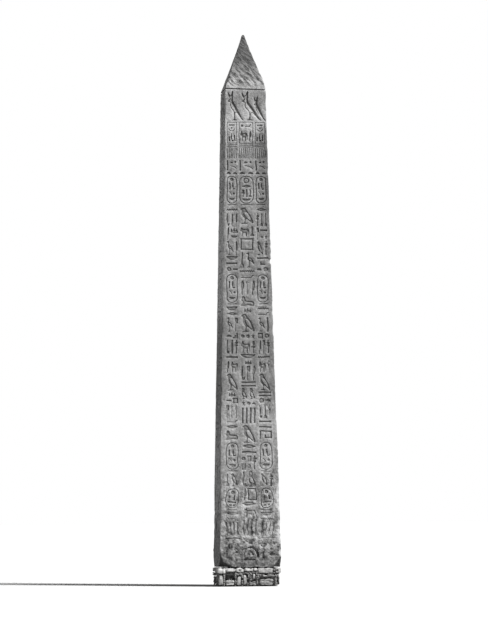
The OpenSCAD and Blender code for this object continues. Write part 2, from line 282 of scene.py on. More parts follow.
# Motifs in a box of one by one: rounded outlines, straight ones and strokes.
# What a second outline encloses stays.
SMOOTH = {
    "hawk": ([(.30, .99), (.17, .96), (.03, .86), (.15, .80), (.12, .66), (.16, .50), (.26, .38), (.33, .31),
              (.33, .09), (.16, .06), (.15, .0), (.55, .0), (.55, .06), (.43, .09), (.45, .27), (.60, .22),
              (.86, .02), (.98, .10), (.82, .42), (.62, .70), (.48, .86), (.42, .95)],
             [(.34, .70), (.40, .50), (.58, .33), (.78, .19), (.68, .42), (.50, .66)]),
    "chick": ([(.26, .98), (.12, .94), (.0, .82), (.15, .80), (.15, .62), (.10, .45), (.20, .28), (.34, .24),
               (.33, .07), (.20, .05), (.19, .0), (.62, .0), (.61, .05), (.47, .08), (.50, .24), (.74, .32),
               (.96, .56), (.86, .70), (.62, .64), (.43, .72), (.41, .90)],
              [(.30, .50), (.45, .40), (.64, .46), (.50, .56)]),
    "owl": ([(.20, .98), (.07, .91), (.08, .72), (.16, .62), (.12, .42), (.22, .26), (.34, .20), (.33, .07),
             (.20, .05), (.19, .0), (.62, .0), (.61, .05), (.46, .08), (.48, .20), (.68, .13), (.93, .04),
             (.92, .19), (.68, .50), (.52, .66), (.53, .86), (.42, .98)],
            [(.28, .56), (.34, .38), (.52, .28), (.70, .22), (.56, .44), (.42, .58)]),
    "heron": ([(.34, .99), (.20, .97), (.0, .87), (.20, .86), (.28, .78), (.19, .62), (.24, .50), (.37, .43),
               (.36, .09), (.22, .06), (.21, .0), (.58, .0), (.57, .06), (.46, .09), (.48, .41), (.70, .34),
               (.98, .20), (.82, .50), (.58, .66), (.41, .66), (.39, .80), (.44, .91)],
              [(.36, .58), (.50, .50), (.70, .42), (.54, .58)]),
    "seated": ([(.32, 1.), (.19, .97), (.17, .85), (.28, .78), (.22, .70), (.05, .52), (.02, .42), (.10, .39),
                (.27, .48), (.28, .38), (.10, .34), (.05, .10), (.0, .05), (.02, .0), (.90, .0), (.96, .10),
                (.82, .40), (.66, .66), (.49, .76), (.52, .90), (.44, .99)],),
    "beast": ([(.0, .62), (.05, .50), (.17, .50), (.23, .38), (.21, .02), (.32, .02), (.37, .30), (.61, .30),
               (.65, .02), (.77, .02), (.80, .34), (.88, .52), (.93, .14), (1., .16), (.98, .64), (.86, .80),
               (.52, .74), (.34, .80), (.30, .98), (.22, .90), (.14, .98), (.10, .80)],),
    "lion": ([(.0, .60), (.04, .46), (.14, .40), (.02, .14), (.02, .02), (.42, .02), (.56, .06), (.92, .02),
              (1., .30), (.90, .52), (.62, .54), (.34, .62), (.32, .88), (.20, .99), (.07, .92),
              (.06, .74)],),
    "jar": ([(.30, .0), (.70, .0), (.98, .44), (.84, .76), (.66, .84), (.78, .99), (.22, .99), (.34, .84),
             (.16, .76), (.02, .44)],),
    "plume": ([(.34, .0), (.62, .0), (.62, .30), (.92, .50), (1., .80), (.78, .99), (.44, .96), (.22, .72),
               (.26, .36)],),
    "reed": ([(.36, .0), (.66, .0), (.62, .26), (.96, .34), (1., .76), (.76, .99), (.40, .82), (.30, .40)],),
    "hood": ([(.30, .99), (.10, .92), (.16, .78), (.02, .60), (.06, .38), (.26, .22), (.24, .04), (.60, .0),
              (.96, .10), (.96, .26), (.60, .20), (.50, .34), (.58, .60), (.48, .80), (.46, .94)],),
    "hills": ([(.0, .0), (1., .0), (.97, .60), (.86, .86), (.74, .44), (.62, .60), (.50, .92), (.38, .60),
               (.26, .44), (.14, .86), (.03, .60)],),
    "sedge": ([(.42, .0), (.60, .0), (.58, .44), (.98, .70), (.96, .84), (.60, .62), (.62, .99), (.42, .99),
               (.42, .66), (.06, .92), (.02, .78), (.41, .50)],),
}
STRAIGHT = {
    "seat": ([(0, 0), (1, 0), (1, 1), (.66, 1), (.66, .62), (.33, .62), (.33, .32), (0, .32)],),
    "leg": ([(.10, 0), (1, 0), (1, .16), (.55, .26), (.58, 1), (.16, 1), (.22, .30)],),
    "loop": ([(.40, 0), (.60, 0), (.60, .42), (1, .42), (1, .56), (.62, .58), (.86, .76), (.72, .98),
              (.28, .98), (.14, .76), (.38, .58), (0, .56), (0, .42), (.40, .42)],
             [(.38, .76), (.50, .67), (.62, .76), (.56, .87), (.44, .87)]),
    "pillar": ([(.26, 0), (.74, 0), (.66, .50), (1, .52), (1, .62), (.66, .66), (1, .72), (1, .82),
                (.66, .86), (.72, 1), (.28, 1), (.34, .86), (0, .82), (0, .72), (.34, .66), (0, .62),
                (0, .52), (.34, .50)],),
    "star": ([(.5 + r * math.sin(math.radians(36 * i)), .5 + r * math.cos(math.radians(36 * i)))
              for i, r in zip(range(9, -1, -1), (.21, .5) * 5)],),
    "gable": ([(0, 0), (1, 0), (1, .16), (.68, .30), (.68, .99), (.32, .99), (.32, .30), (0, .16)],),
    "axe": ([(.22, 0), (.46, 0), (.44, .60), (1, .56), (.96, .98), (.10, .98), (.06, .76), (.26, .66)],),
}
STROKES = {
    "crook": [(.55, 0), (.52, .80), (.34, .97), (.10, .84), (.16, .62)],
    "staff": [(.42, 0), (.42, .80), (.14, .96), (.90, .86)],
    "viper": [(0, .50), (.10, .86), (.22, .50), (.42, .22), (.66, .42), (.84, .24), (1, .06)],
    "arm": [(0, .34), (.78, .34), (.86, .86), (1, .90)],
    "cord": [(.10, .96), (.80, .80), (.86, .52), (.22, .44), (.16, .18), (.94, .04)],
    "court": [(.0, .0), (.0, .98), (1., .98), (1., .20), (.46, .20), (.46, .58)],
    "sickle": [(.0, .90), (.60, .98), (.94, .66), (.72, .22), (.20, .04)],
    "branch": [(.0, .98), (.30, .56), (.98, .44), (.98, .04)],
    "bowl": [(.0, .96), (.10, .48), (.34, .08), (.66, .08), (.90, .48), (1., .96)],
    "leaf": [(.0, .92), (.36, .80), (.70, .50), (1., .04)],
}
# Widths of the slim motifs as shares of their heights
SLIM = {"jar": .8, "plume": .42, "reed": .40, "hood": .62, "sedge": .66, "seated": .80, "leg": .6,
        "loop": .58, "pillar": .46, "gable": .6, "axe": .7}
# Motifs to choose from. One that stands here twice comes up more often.
FLAT = ("wave", "bar", "basket", "lens", "viper", "arm", "two_bars", "hills", "wave", "bar", "lion", "basket")
SMALL = ("disc", "loaf", "ring", "pool", "seat", "jar", "disc", "loaf", "star", "bar", "three")
TALL = ("reed", "plume", "crook", "staff", "loop", "pillar", "sedge", "leg", "gable", "hood", "stroke", "axe",
        "jar", "reed")
BIRDS = ("hawk", "chick", "owl", "heron", "hawk")
BLOCK = ("court", "cord", "beast", "seated", "sickle", "pool", "beast", "branch")


def motif(kind, x, y, w, h, stroke=MARK_W):
    """Outlines of one motif in its box. (True, points) cuts inside them, (False, points) keeps the inside."""
    cx, cy = x + w / 2, y + h / 2
    if kind in STROKES:
        stroke = min(stroke, min(w, h) / 4.6)
        # A box that is too small for the strokes gets a plain mark
        if min(w, h) < 0.13:
            kind = "bar" if w > h * 1.4 else "stroke" if h > w * 1.4 else "loaf"
    for outlines, slim, curve, least in ((SMOOTH, 1.3, rounded, 0.24), (STRAIGHT, 1.0, list, 0.20)):
        if kind in outlines:
            width = min(w, h * SLIM.get(kind, slim))
            return [(i == 0, curve(fitted(points, cx - width / 2, y, width, h)))
                    for i, points in enumerate(outlines[kind]) if i == 0 or min(width, h) > least]
    if kind in STROKES:
        inside = fitted(STROKES[kind], x + stroke / 2, y + stroke / 2, w - stroke, h - stroke)
        return [(True, band(inside, stroke))]
    radius = min(w, h) / 2
    if kind == "disc":
        return [(True, ellipse(cx, cy, radius, radius, count=16))]
    if kind == "ring":
        loops = [(True, ellipse(cx, cy, radius, radius, count=18))]
        if radius > 2 * stroke:
            loops.append((False, ellipse(cx, cy, radius - stroke, radius - stroke, count=14)))
        if radius > 2.9 * stroke:
            loops.append((True, ellipse(cx, cy, radius * 0.3, radius * 0.3, count=8)))
        return loops
    if kind == "loaf":
        rx = min(w / 2, h * 1.1)
        ry = min(h, rx * 1.05)
        return [(True, ellipse(cx, cy - ry / 2, rx, ry, 0, 180, 10))]
    if kind == "basket":
        ry = min(h, w * 0.42)
        return [(True, ellipse(cx, cy + ry / 2, w / 2, ry, 180, 360, 12))]
    if kind == "lens":
        ry = min(h / 2, w * 0.17)
        shares = [(-1, t) for t in np.linspace(0, 1, 9)] + [(1, t) for t in np.linspace(1, 0, 9)[1:-1]]
        outline = [(x + w * t, cy + sign * ry * math.sin(math.pi * t)) for sign, t in shares]
        loops = [(True, outline)]
        if ry > 1.9 * stroke:
            inner = (ry - stroke) / ry
            loops.append((False, [(cx + (px - cx) * inner * 0.84, cy + (py - cy) * inner)
                                  for px, py in outline]))
        return loops
    if kind == "wave":
        peaks = max(3, round(w / 0.085))
        rise = min(h - stroke, 0.045)
        line = [(x + w * i / (2 * peaks), cy + (rise / 2 if i % 2 else -rise / 2))
                for i in range(2 * peaks + 1)]
        return [(True, [(px, py - stroke / 2) for px, py in line]
                 + [(px, py + stroke / 2) for px, py in line[::-1]])]
    if kind == "bar":
        thick = min(h, stroke * 1.2)
        return [(True, rectangle(x, cy - thick / 2, w, thick))]
    if kind == "two_bars":
        thick = min(stroke, h * 0.36)
        return [(True, rectangle(x, low, w, thick)) for low in (y, y + h - thick)]
    if kind == "three":
        width = min(stroke, w / 4.2)
        return [(True, rectangle(x + (w - width) * i / 2, y, width, h)) for i in range(3)]
    if kind == "stroke":
        return [(True, rectangle(cx - stroke * 0.6, y, stroke * 1.2, h))]
    # What is left is a pool
    loops = [(True, rectangle(x, y, w, h))]
    if min(w, h) > 3.4 * stroke:
        loops.append((False, rectangle(x + stroke, y + stroke, w - 2 * stroke, h - 2 * stroke)))
    return loops


def row_of(kind, chance, x, y, w, h, gap):
    """The motifs of one row of a column, each in its own box."""
    boxes = []
    flip = chance.random() < 0.4

    def pick(names):
        return names[chance.integers(len(names))]

    def put(name, left, low, width, high):
        if flip and width < w * 0.99:
            left = x + w - (left - x) - width
        boxes.append((name, left, low, width, high))

    def spread(count, choose):
        each = (w - gap * (count - 1)) / count
        for i in range(count):
            boxes.append((choose(), x + (each + gap) * i, y, each, h))

    half_w, half_h = (w - gap) / 2, (h - gap) / 2
    upper = y + half_h + gap
    if kind == "bird":
        wide = w * 0.62
        side, beside = w - wide - gap, x + wide + gap
        put(pick(BIRDS), x, y, wide, h)
        if chance.random() < 0.5:
            put(pick(TALL), beside, y, side, h)
        else:
            put(pick(SMALL), beside, y, side, min(half_h, side))
            put(pick(SMALL), beside, upper, side, min(half_h, side * 1.2))
    elif kind == "big_bird":
        put("hawk", x, y, w, h)
    elif kind == "two_birds":
        for left in (x, x + half_w + gap):
            put(pick(BIRDS), left, y, half_w, h)
    elif kind == "talls":
        spread(3, lambda: pick(TALL))
    elif kind == "reeds":
        name = pick(("reed", "stroke", "plume", "stroke"))
        spread(4 if w > 0.45 else 3, lambda: name)
    elif kind == "tall_side":
        thin = w * 0.27
        rest, beside = w - thin - gap, x + thin + gap
        each = (rest - gap) / 2
        put(pick(TALL), x, y, thin, h)
        for low in (y, upper):
            if chance.random() < 0.5:
                put(pick(FLAT), beside, low, rest, half_h)
            else:
                put(pick(SMALL), beside, low, each, half_h)
                put(pick(SMALL), beside + each + gap, low, each, half_h)
    elif kind == "flats":
        for low in (y, upper):
            put(pick(FLAT), x, low, w, half_h)
    elif kind == "flat":
        put(pick(FLAT), x, y, w, h)
    elif kind == "smalls":
        spread(3 if w > 0.5 else 2, lambda: pick(SMALL))
    elif kind == "block":
        wide = w * 0.64
        put(pick(BLOCK), x, y, wide, h)
        put(pick(TALL), x + wide + gap, y, w - wide - gap, h)
    elif kind == "beast":
        put(pick(("beast", "lion", "cord", "court")), x, y, w, h)
    return boxes


# Heights of the rows as shares of each other, and the runs of rows in the columns, the same as in the
# CAD part: where each run begins and ends, as shares of the shaft's height, and its rows from the top down
ROW_HEIGHT = {"bird": .90, "big_bird": 1.05, "two_birds": .66, "talls": .84, "reeds": .90, "tall_side": .80,
              "flats": .60, "flat": .30, "smalls": .36, "block": .72, "beast": .60}
SIDE_RUNS = (
    (.613, .751, ("flat", "talls", "tall_side", "bird", "flats", "smalls")),
    (.2625, .5435, ("flats", "bird", "smalls", "talls", "flat", "block", "big_bird", "flat", "smalls",
                    "talls", "flats", "beast")),
    (.167, .1955, ("bird",)),
    (.0655, .116, ("flats", "reeds")),
)
MIDDLE_RUNS = (
    (.714, .751, ("big_bird",)),
    (.688, .711, ("block",)),
    (.0655, .657, ("bird", "flats", "talls", "beast", "flat", "big_bird", "smalls", "block", "flats", "talls",
                   "flat", "two_birds", "smalls", "reeds", "big_bird", "flats", "tall_side", "bird", "block",
                   "flat", "beast", "reeds")),
)


# Shape of the monolith

def half_width(z):
    """Half the width of a straight side, at a height above the foot."""
    return np.where(z <= SHAFT_H, FOOT_W / 2 - z * (FOOT_W - NECK_W) / 2 / SHAFT_H,
                    NECK_W / 2 - (z - SHAFT_H) * (NECK_W - TIP_W) / 2 / PYRAMIDION_H)


def reach_of(side, z):
    """Distance of a side from the axis. The right side of the pyramidion bulges near its foot."""
    z = np.asarray(z, float)
    extra = 0.0
    if side % 4 == 1:
        up = (z - SHAFT_H) / PYRAMIDION_H
        extra = BULGE * np.interp(up, [0.0, 0.2, 0.31, 1.0], [0.0, 1.0, 0.5, 0.0])
    return half_width(z) + extra


def edges_of(side, z):
    """The left and the right arris of a side at a height."""
    return -float(reach_of(side - 1, z)), float(reach_of(side + 1, z))


def turn_of(side):
    """Turns the front, or what lies at its left corner, to a side."""
    return np.array(Matrix.Rotation(math.radians(90 * side), 3, "Z"))


# Layout of the carving

def outer_line(z):
    neck, foot = NECK_W / 2 - NECK_MARGIN, FOOT_W / 2 - FOOT_MARGIN
    return foot + (neck - foot) * z / SHAFT_H


def column_edges(column, z):
    """The left and right edge of a column's carving at a height: -1 left, 0 middle, 1 right."""
    if column == 0:
        return -MIDDLE_W / 2 + EDGE, MIDDLE_W / 2 - EDGE
    near = MIDDLE_W / 2 + (FOOT_GAP + (NECK_GAP - FOOT_GAP) * z / SHAFT_H) - EDGE
    far = outer_line(z) - EDGE
    return (near, far) if column > 0 else (-far, -near)


def column_span(column, z):
    """The middle and the width of a column's carving at a height."""
    left, right = column_edges(column, z)
    return (left + right) / 2, right - left


def fill_column(chance, column, low, high, kinds):
    """Rows of motifs in a column, from high down to low."""
    scale = (high - low - ROW_GAP * len(kinds)) / sum(ROW_HEIGHT[kind] for kind in kinds)
    loops = []
    top = high - ROW_GAP / 2
    for kind in kinds:
        tall = ROW_HEIGHT[kind] * scale
        left, right = column_edges(column, top - tall / 2)
        for box in row_of(kind, chance, left, top - tall, right - left, tall, ROW_GAP):
            loops += motif(*box)
        top -= tall + ROW_GAP
    return loops


def oval(cx, low, high, w, line=0.046):
    """A name ring: a tall rounded outline, whose inside is kept."""
    h = high - low
    radius = w * 0.46

    def outline(width, height, r):
        points = []
        for sx, sy, start in ((1, 1, 0), (-1, 1, 90), (-1, -1, 180), (1, -1, 270)):
            points += ellipse(cx + sx * (width / 2 - r), (low + high) / 2 + sy * (height / 2 - r), r, r,
                              start, start + 90, 7)
        return points

    return [(True, outline(w, h, radius)), (False, outline(w - 2 * line, h - 2 * line, radius - line))]


def placed(marks, x, z, w, h, stroke):
    """Motifs set in one box, whose places and sizes are shares of it."""
    loops = []
    for kind, left, low, wide, tall in marks:
        loops += motif(kind, x + left * w, z + low * h, wide * w, tall * h, stroke)
    return loops


# Marks in the ovals, the frames and the group over the top ovals: motif, then left, low, width and height
OVAL_MARKS = {
    "narrow": (("disc", .20, .82, .60, .17), ("stroke", .06, .50, .26, .28), ("hood", .44, .48, .52, .31),
               ("leaf", .02, .24, .50, .20), ("disc", .60, .25, .36, .16), ("basket", .08, .04, .84, .13)),
    "short": (("ring", .16, .72, .68, .26), ("plume", .02, .38, .40, .30), ("stroke", .60, .38, .30, .30),
              ("bar", .04, .22, .92, .10), ("loaf", .12, .03, .34, .12), ("disc", .56, .03, .30, .13)),
    "wide": (("ring", .20, .74, .60, .25), ("lens", .0, .56, 1., .14), ("loop", .02, .20, .34, .32),
             ("stroke", .42, .20, .18, .32), ("gable", .66, .20, .32, .32), ("basket", .10, .02, .80, .13)),
}
FRAME_MARKS = {
    "narrow": (("bar", .06, .86, .84, .11), ("bowl", .0, .56, .94, .20), ("disc", .36, .70, .24, .11),
               ("hood", .32, .02, .40, .46), ("stroke", .0, .04, .24, .26), ("stroke", .76, .06, .24, .34)),
    "wide": (("disc", .02, .78, .24, .20), ("arm", .36, .74, .62, .24), ("beast", .0, .06, .66, .58),
             ("plume", .72, .04, .28, .56)),
}
GROUP_MARKS = (("stroke", .0, .26, .16, .72), ("loaf", .34, .74, .26, .20), ("star", .66, .72, .30, .26),
               ("leaf", .34, .34, .64, .30), ("loaf", .0, .0, .42, .18), ("loaf", .58, .0, .42, .18))
# Low and high end of each oval, as shares of the shaft's height, and its marks
SIDE_OVALS = ((.7549, .8165, "narrow"), (.547, .6097, "narrow"), (.199, .2592, "narrow"),
              (.1197, .1639, "short"))
MIDDLE_OVALS = ((.7549, .8165, "wide"),)


def oval_with_marks(cx, low, high, w, kind):
    """A name ring with a few plain motifs in it and a tie bar under it."""
    tie = 0.05
    inner = w - 0.15
    bottom = low + tie + 0.075
    return (oval(cx, low + tie, high, w)
            + placed(OVAL_MARKS[kind], cx - inner / 2, bottom, inner, high - 0.06 - bottom, 0.056)
            + [(True, rectangle(cx - w * 0.4, low - 0.012, w * 0.8, 0.04))])


def name_frame(cx, w, kind, niches):
    """A frame with plain motifs in it, over two level lines and a band of narrow niches."""
    low, sill, high = SHAFT_H * 0.8526, SHAFT_H * 0.8843, SHAFT_H * 0.9300
    left, line = cx - w / 2, 0.028
    loops = [(True, rectangle(left, sill, w, high - sill)),
             (False, rectangle(left + line, sill + line, w - 2 * line, high - sill - 2 * line))]
    margin = line + 0.03
    loops += placed(FRAME_MARKS[kind], left + margin, sill + margin, w - 2 * margin, high - sill - 2 * margin,
                    0.05)
    loops += [(True, rectangle(left, z, w, 0.034)) for z in (sill - 0.075, sill - 0.15)]
    pitch = (w - line) / niches
    loops += [(True, rectangle(left + pitch * i, low + 0.01, line, sill - 0.19 - low))
              for i in range(niches + 1)]
    return loops


# Large birds with tall head-dresses over the frames: left, right, low and high, and whether the legs are free
TOP_BIRDS = ((-0.74, -0.08, 17.65, 18.79, True), (-0.20, 0.63, 17.65, 18.80, True),
             (0.30, 0.80, 17.63, 18.62, False))
TOP_BIRDS_LOW = 17.62
BIRD_BACK = [(.30, 1.0), (.385, .985), (.37, .84), (.36, .69), (.41, .62), (.57, .47), (.74, .29), (.90, .11),
             (1.0, .0), (.88, .03), (.72, .14), (.60, .22)]
BIRD_LEGS = [(.50, .26), (.485, .06), (.58, .035), (.58, .0), (.30, .0), (.30, .035), (.40, .06), (.395, .28)]
BIRD_FRONT = [(.30, .36), (.20, .45), (.17, .54), (.19, .61), (.04, .635), (.07, .68), (.16, .73), (.10, .79),
              (.03, .93), (.10, .95), (.18, .86), (.25, .88)]


def top_bird(left, right, low, high, legs):
    points = BIRD_BACK + (BIRD_LEGS if legs else [(.46, .27)]) + BIRD_FRONT
    return [(True, rounded(fitted(points, left, low, right - left, high - low)))]


# Shallow bowl in the base line of the front, deepest at its lower rim
BOWL = [(-.30, 1.16), (-.26, 1.04), (-.16, .95), (-.03, .925), (.10, .95), (.20, 1.04), (.24, 1.16),
        (-.03, 1.15)]
BOWL_U = -0.03


def in_bowl(side, u, z, margin=0.0):
    return (side == 0) & (np.abs(u - BOWL_U) < 0.31 + margin) & (z > 0.89 - margin) & (z < 1.19 + margin / 2)


def front_arch():
    """The nested arch and the few marks below the base line of the front."""
    ring = ellipse(0.075, 0.40, 0.325, 0.435, 0, 180, 14) + ellipse(0.045, 0.40, 0.245, 0.345, 180, 0, 12)
    horseshoe = ellipse(0.03, 0.47, 0.14, 0.20, 0, 180, 10) + ellipse(0.03, 0.47, 0.05, 0.07, 180, 0, 8)
    marks = ((0.54, 0.87, 0.12, 0.09), (0.53, 0.50, 0.055, 0.13), (0.89, 0.50, 0.11, 0.075),
             (0.82, 0.72, 0.06, 0.05), (0.93, 0.93, 0.045, 0.09), (-0.52, 0.60, 0.075, 0.06),
             (-0.80, 0.82, 0.05, 0.08))
    return ([(True, ring), (True, horseshoe), (True, rectangle(-0.27, 0.27, 0.48, 0.055))]
            + [(True, ellipse(*mark, count=10)) for mark in marks])


# Heights as shares of the shaft's height: the middle of the frames, the middle, low end and height of the
# group over the top ovals, and the low end and height of the pool in the middle column
FRAME_MIDDLE = 0.905
GROUP_MIDDLE, GROUP_LOW, GROUP_TALL = 0.838, 0.8195, 0.0305
POOL_LOW, POOL_TALL = .660, .0255


def face_carving(side):
    """All carved outlines of one side, in metres across the face and above the foot."""
    chance = np.random.default_rng(40 + side)
    loops = [outline for bird in TOP_BIRDS for outline in top_bird(*bird)]
    for column in (-1, 0, 1):
        middle, wide = column_span(column, SHAFT_H * FRAME_MIDDLE)
        loops += name_frame(middle, wide * 0.97, "narrow" if column else "wide", 5 if column else 7)
        left, right = column_edges(column, SHAFT_H * GROUP_MIDDLE)
        loops += placed(GROUP_MARKS, left, SHAFT_H * GROUP_LOW, right - left, SHAFT_H * GROUP_TALL, 0.05)
        if column == 0:
            loops += motif("pool", -MIDDLE_W * 0.43, SHAFT_H * POOL_LOW, MIDDLE_W * 0.86, SHAFT_H * POOL_TALL)
        for low, high, kind in SIDE_OVALS if column else MIDDLE_OVALS:
            middle, wide = column_span(column, SHAFT_H * ((low + high) / 2))
            loops += oval_with_marks(middle, SHAFT_H * low, SHAFT_H * high, wide, kind)
        for low, high, kinds in SIDE_RUNS if column else MIDDLE_RUNS:
            loops += fill_column(chance, column, SHAFT_H * low, SHAFT_H * high, kinds)
    # Base line under the columns, which dips to a bowl over the arch of the front
    edge = outer_line(BASE_LINE)
    if side > 0:
        return loops + [(True, rectangle(-edge, BASE_LINE - LINE_W / 2, 2 * edge, LINE_W))]
    left_line = band([(-edge, 1.145), (-.62, 1.15), (-.39, 1.13)], .05)
    right_line = band([(.34, 1.13), (.64, 1.15), (edge, 1.16)], .042)
    return loops + [(True, left_line), (True, right_line), (True, BOWL)] + front_arch()


# Depth and wear of the carving

def depth_share(z):
    """Depth of the carving by height above the foot: the large birds and the low ovals are deepest."""
    return np.interp(z, [0.9, 1.2, 2.1, 2.25, 3.1, 3.3, 4.3, 15.4, 15.7, 17.58, TOP_BIRDS_LOW],
                     [1.25, 1.0, 1.0, 1.35, 1.35, 1.05, 1.0, 1.0, 1.35, 1.4, 1.75])


def in_groove(z):
    return (z > GROOVE[0] - 0.001) & (z < GROOVE[1] + 0.001)


def in_arch(side, u, z):
    return (side == 0) & (z < 0.9) & (np.abs(u - 0.07) < 0.37)


def melted(z):
    """How far the carving near the foot has lost its shape: 0 above the worn height and 1 well below it."""
    return np.clip((4.0 - z) / 1.2, 0, 1)


def faded(u, z, side):
    """Share of the carving that is left in the patches near the foot where the stone has scaled off."""
    patches = 0.5 + 0.5 * np.sin(5.3 * u + 2.1 * z + 1.3 * side) * np.sin(4.7 * z - 3.9 * u + 1.7 + side)
    return np.where(in_arch(side, u, z), 1.0, 1 - 0.6 * np.clip((4.8 - z) / 1.2, 0, 1) * patches)


def wavy(loop, side):
    """The same outline drawn by a less steady hand, least steady near the foot."""
    u, z = np.array(loop, float).T
    much = np.interp(z, [0, 3.3, 5.0, 17.4, 18.2], [0.028, 0.028, 0.013, 0.012, 0.006])
    du = much * (np.sin(7.3 * z + 2.1 * u + 4 * side) + 0.6 * np.sin(13.7 * z - 5.2 * u + 1.3)) / 1.6
    dz = much * (np.sin(6.1 * u + 3.3 * z + 2 * side) + 0.6 * np.sin(12.1 * u - 7.9 * z)) / 2
    return list(zip(u + du, z + dz))


def split_long(loop, longest):
    """The same outline with points added on its long edges."""
    loop = np.array(loop, float)
    out = []
    for a, b in zip(loop, np.roll(loop, -1, 0)):
        pieces = max(1, math.ceil(np.linalg.norm(b - a) / longest))
        out += [tuple(a + (b - a) * k / pieces) for k in range(pieces)]
    return out


# Across and up a side, the way to the sun that the shadows in the carving come from
SUN_U, SUN_Z = 0.551, 0.834
# Depths: the least of the carving and what it gains near the foot, the rims of the large birds and the groove
LEAST_DEPTH, GAIN_AT_FOOT, BIRD_RIM_DEPTH, GROOVE_DEPTH = 0.021, 0.012, 0.068, 0.06


def sunward(points, inward, outline):
    """Distance from each point to the outline up and to the right of it, where the shadow comes from."""
    towards, across = np.array((SUN_U, SUN_Z)), np.array((-SUN_Z, SUN_U))
    out = np.full(len(points), 0.3)
    for i, p in enumerate(points):
        step = outline - p
        ahead, aside = step @ towards, np.abs(step @ across)
        # A point on the far edge of a motif looks past the outline that it lies on
        own_edge = 0.035 if inward[i] @ towards > 0.005 else -0.004
        close = ahead[(ahead > own_edge) & (aside < 0.022)]
        if len(close):
            out[i] = max(0.0, close.min())
    return out


def floor_of_carving(side, places, inset, away, outline, depth):
    """Depth of the carving's floor at each of its points, and how much of a hollow it is there."""
    u, z = places.T
    # The floor swells up away from the outlines, and in the large birds away from the edge towards the sun
    pillow = np.clip((away - 0.02) / 0.09, 0, 1)
    birds = (z > TOP_BIRDS_LOW) & (z < GROOVE[0] - 0.01)
    lit = sunward(places[birds], inset[birds], outline[outline[:, 1] > TOP_BIRDS_LOW - 0.02])
    pillow[birds] = np.clip(lit / 0.21, 0, 1) * 1.13
    pillow = pillow * pillow * (3 - 2 * np.minimum(pillow, 1.0))
    deep = depth * depth_share(z) * (1 - 0.75 * pillow)
    rims = BIRD_RIM_DEPTH * np.clip(1 - away[birds] / 0.06, 0, 1) * (lit > 0.13)
    deep[birds] = np.maximum(deep[birds], rims)
    # The arch is deeper towards the right
    deep = np.where(in_arch(side, u, z), deep * np.interp(u, [-0.26, 0, 0.2], [0.6, 1.0, 1.35]), deep)
    deep = np.maximum(deep, LEAST_DEPTH + GAIN_AT_FOOT * (z < 4.0)) * faded(u, z, side)
    deep = np.where(in_groove(z), GROOVE_DEPTH, deep)
    bowl = in_bowl(side, u, z)
    from_sun = (1.16 - z) * SUN_Z - (u - BOWL_U) * SUN_U
    deep = np.where(bowl, np.interp(from_sun, [-0.05, 0.22], [0.003, 0.040]), deep)
    # The second value sets the painted shade in the carving's floors
    return deep, (1 - 0.85 * np.clip(pillow, 0, 1)) * np.where(bowl, 0.2, 1.0)


def lips_of_carving(side, places, away):
    """How far the lips of the carving are worn down, but not at the arrises."""
    u, z = places.T
    from_arris = np.minimum(u + reach_of(side - 1, z), reach_of(side + 1, z) - u)
    soft = melted(z)
    lip = (0.016 + 0.012 * soft) * np.clip(1 - away / (0.055 + 0.03 * soft), 0, 1) ** 1.5
    lip *= np.clip((from_arris - 0.01) / 0.03, 0, 1)
    lip = np.where(np.abs(z - NECK_LINE) < 0.09, 0.0, lip * faded(u, z, side))
    return np.where(in_bowl(side, u, z, 0.07), lip * 0.1, lip)


# Mesh of the monolith

# Heights of the points up an arris, closer together near the foot
RISES = sorted({round(v, 4) for v in (*np.linspace(0, 3.6, 73), *np.linspace(3.6, GROOVE[0], 236),
                                      *np.linspace(SHAFT_H, TOP_H, 46)[1:])} | {*GROOVE, SHAFT_H})
FOOT_POINTS = 49
NECK_POINTS = 25
# How far the walls of the carving lean in, and how far the free points keep from the outlines
WALL_RUN = 0.018
CLEAR = 0.036


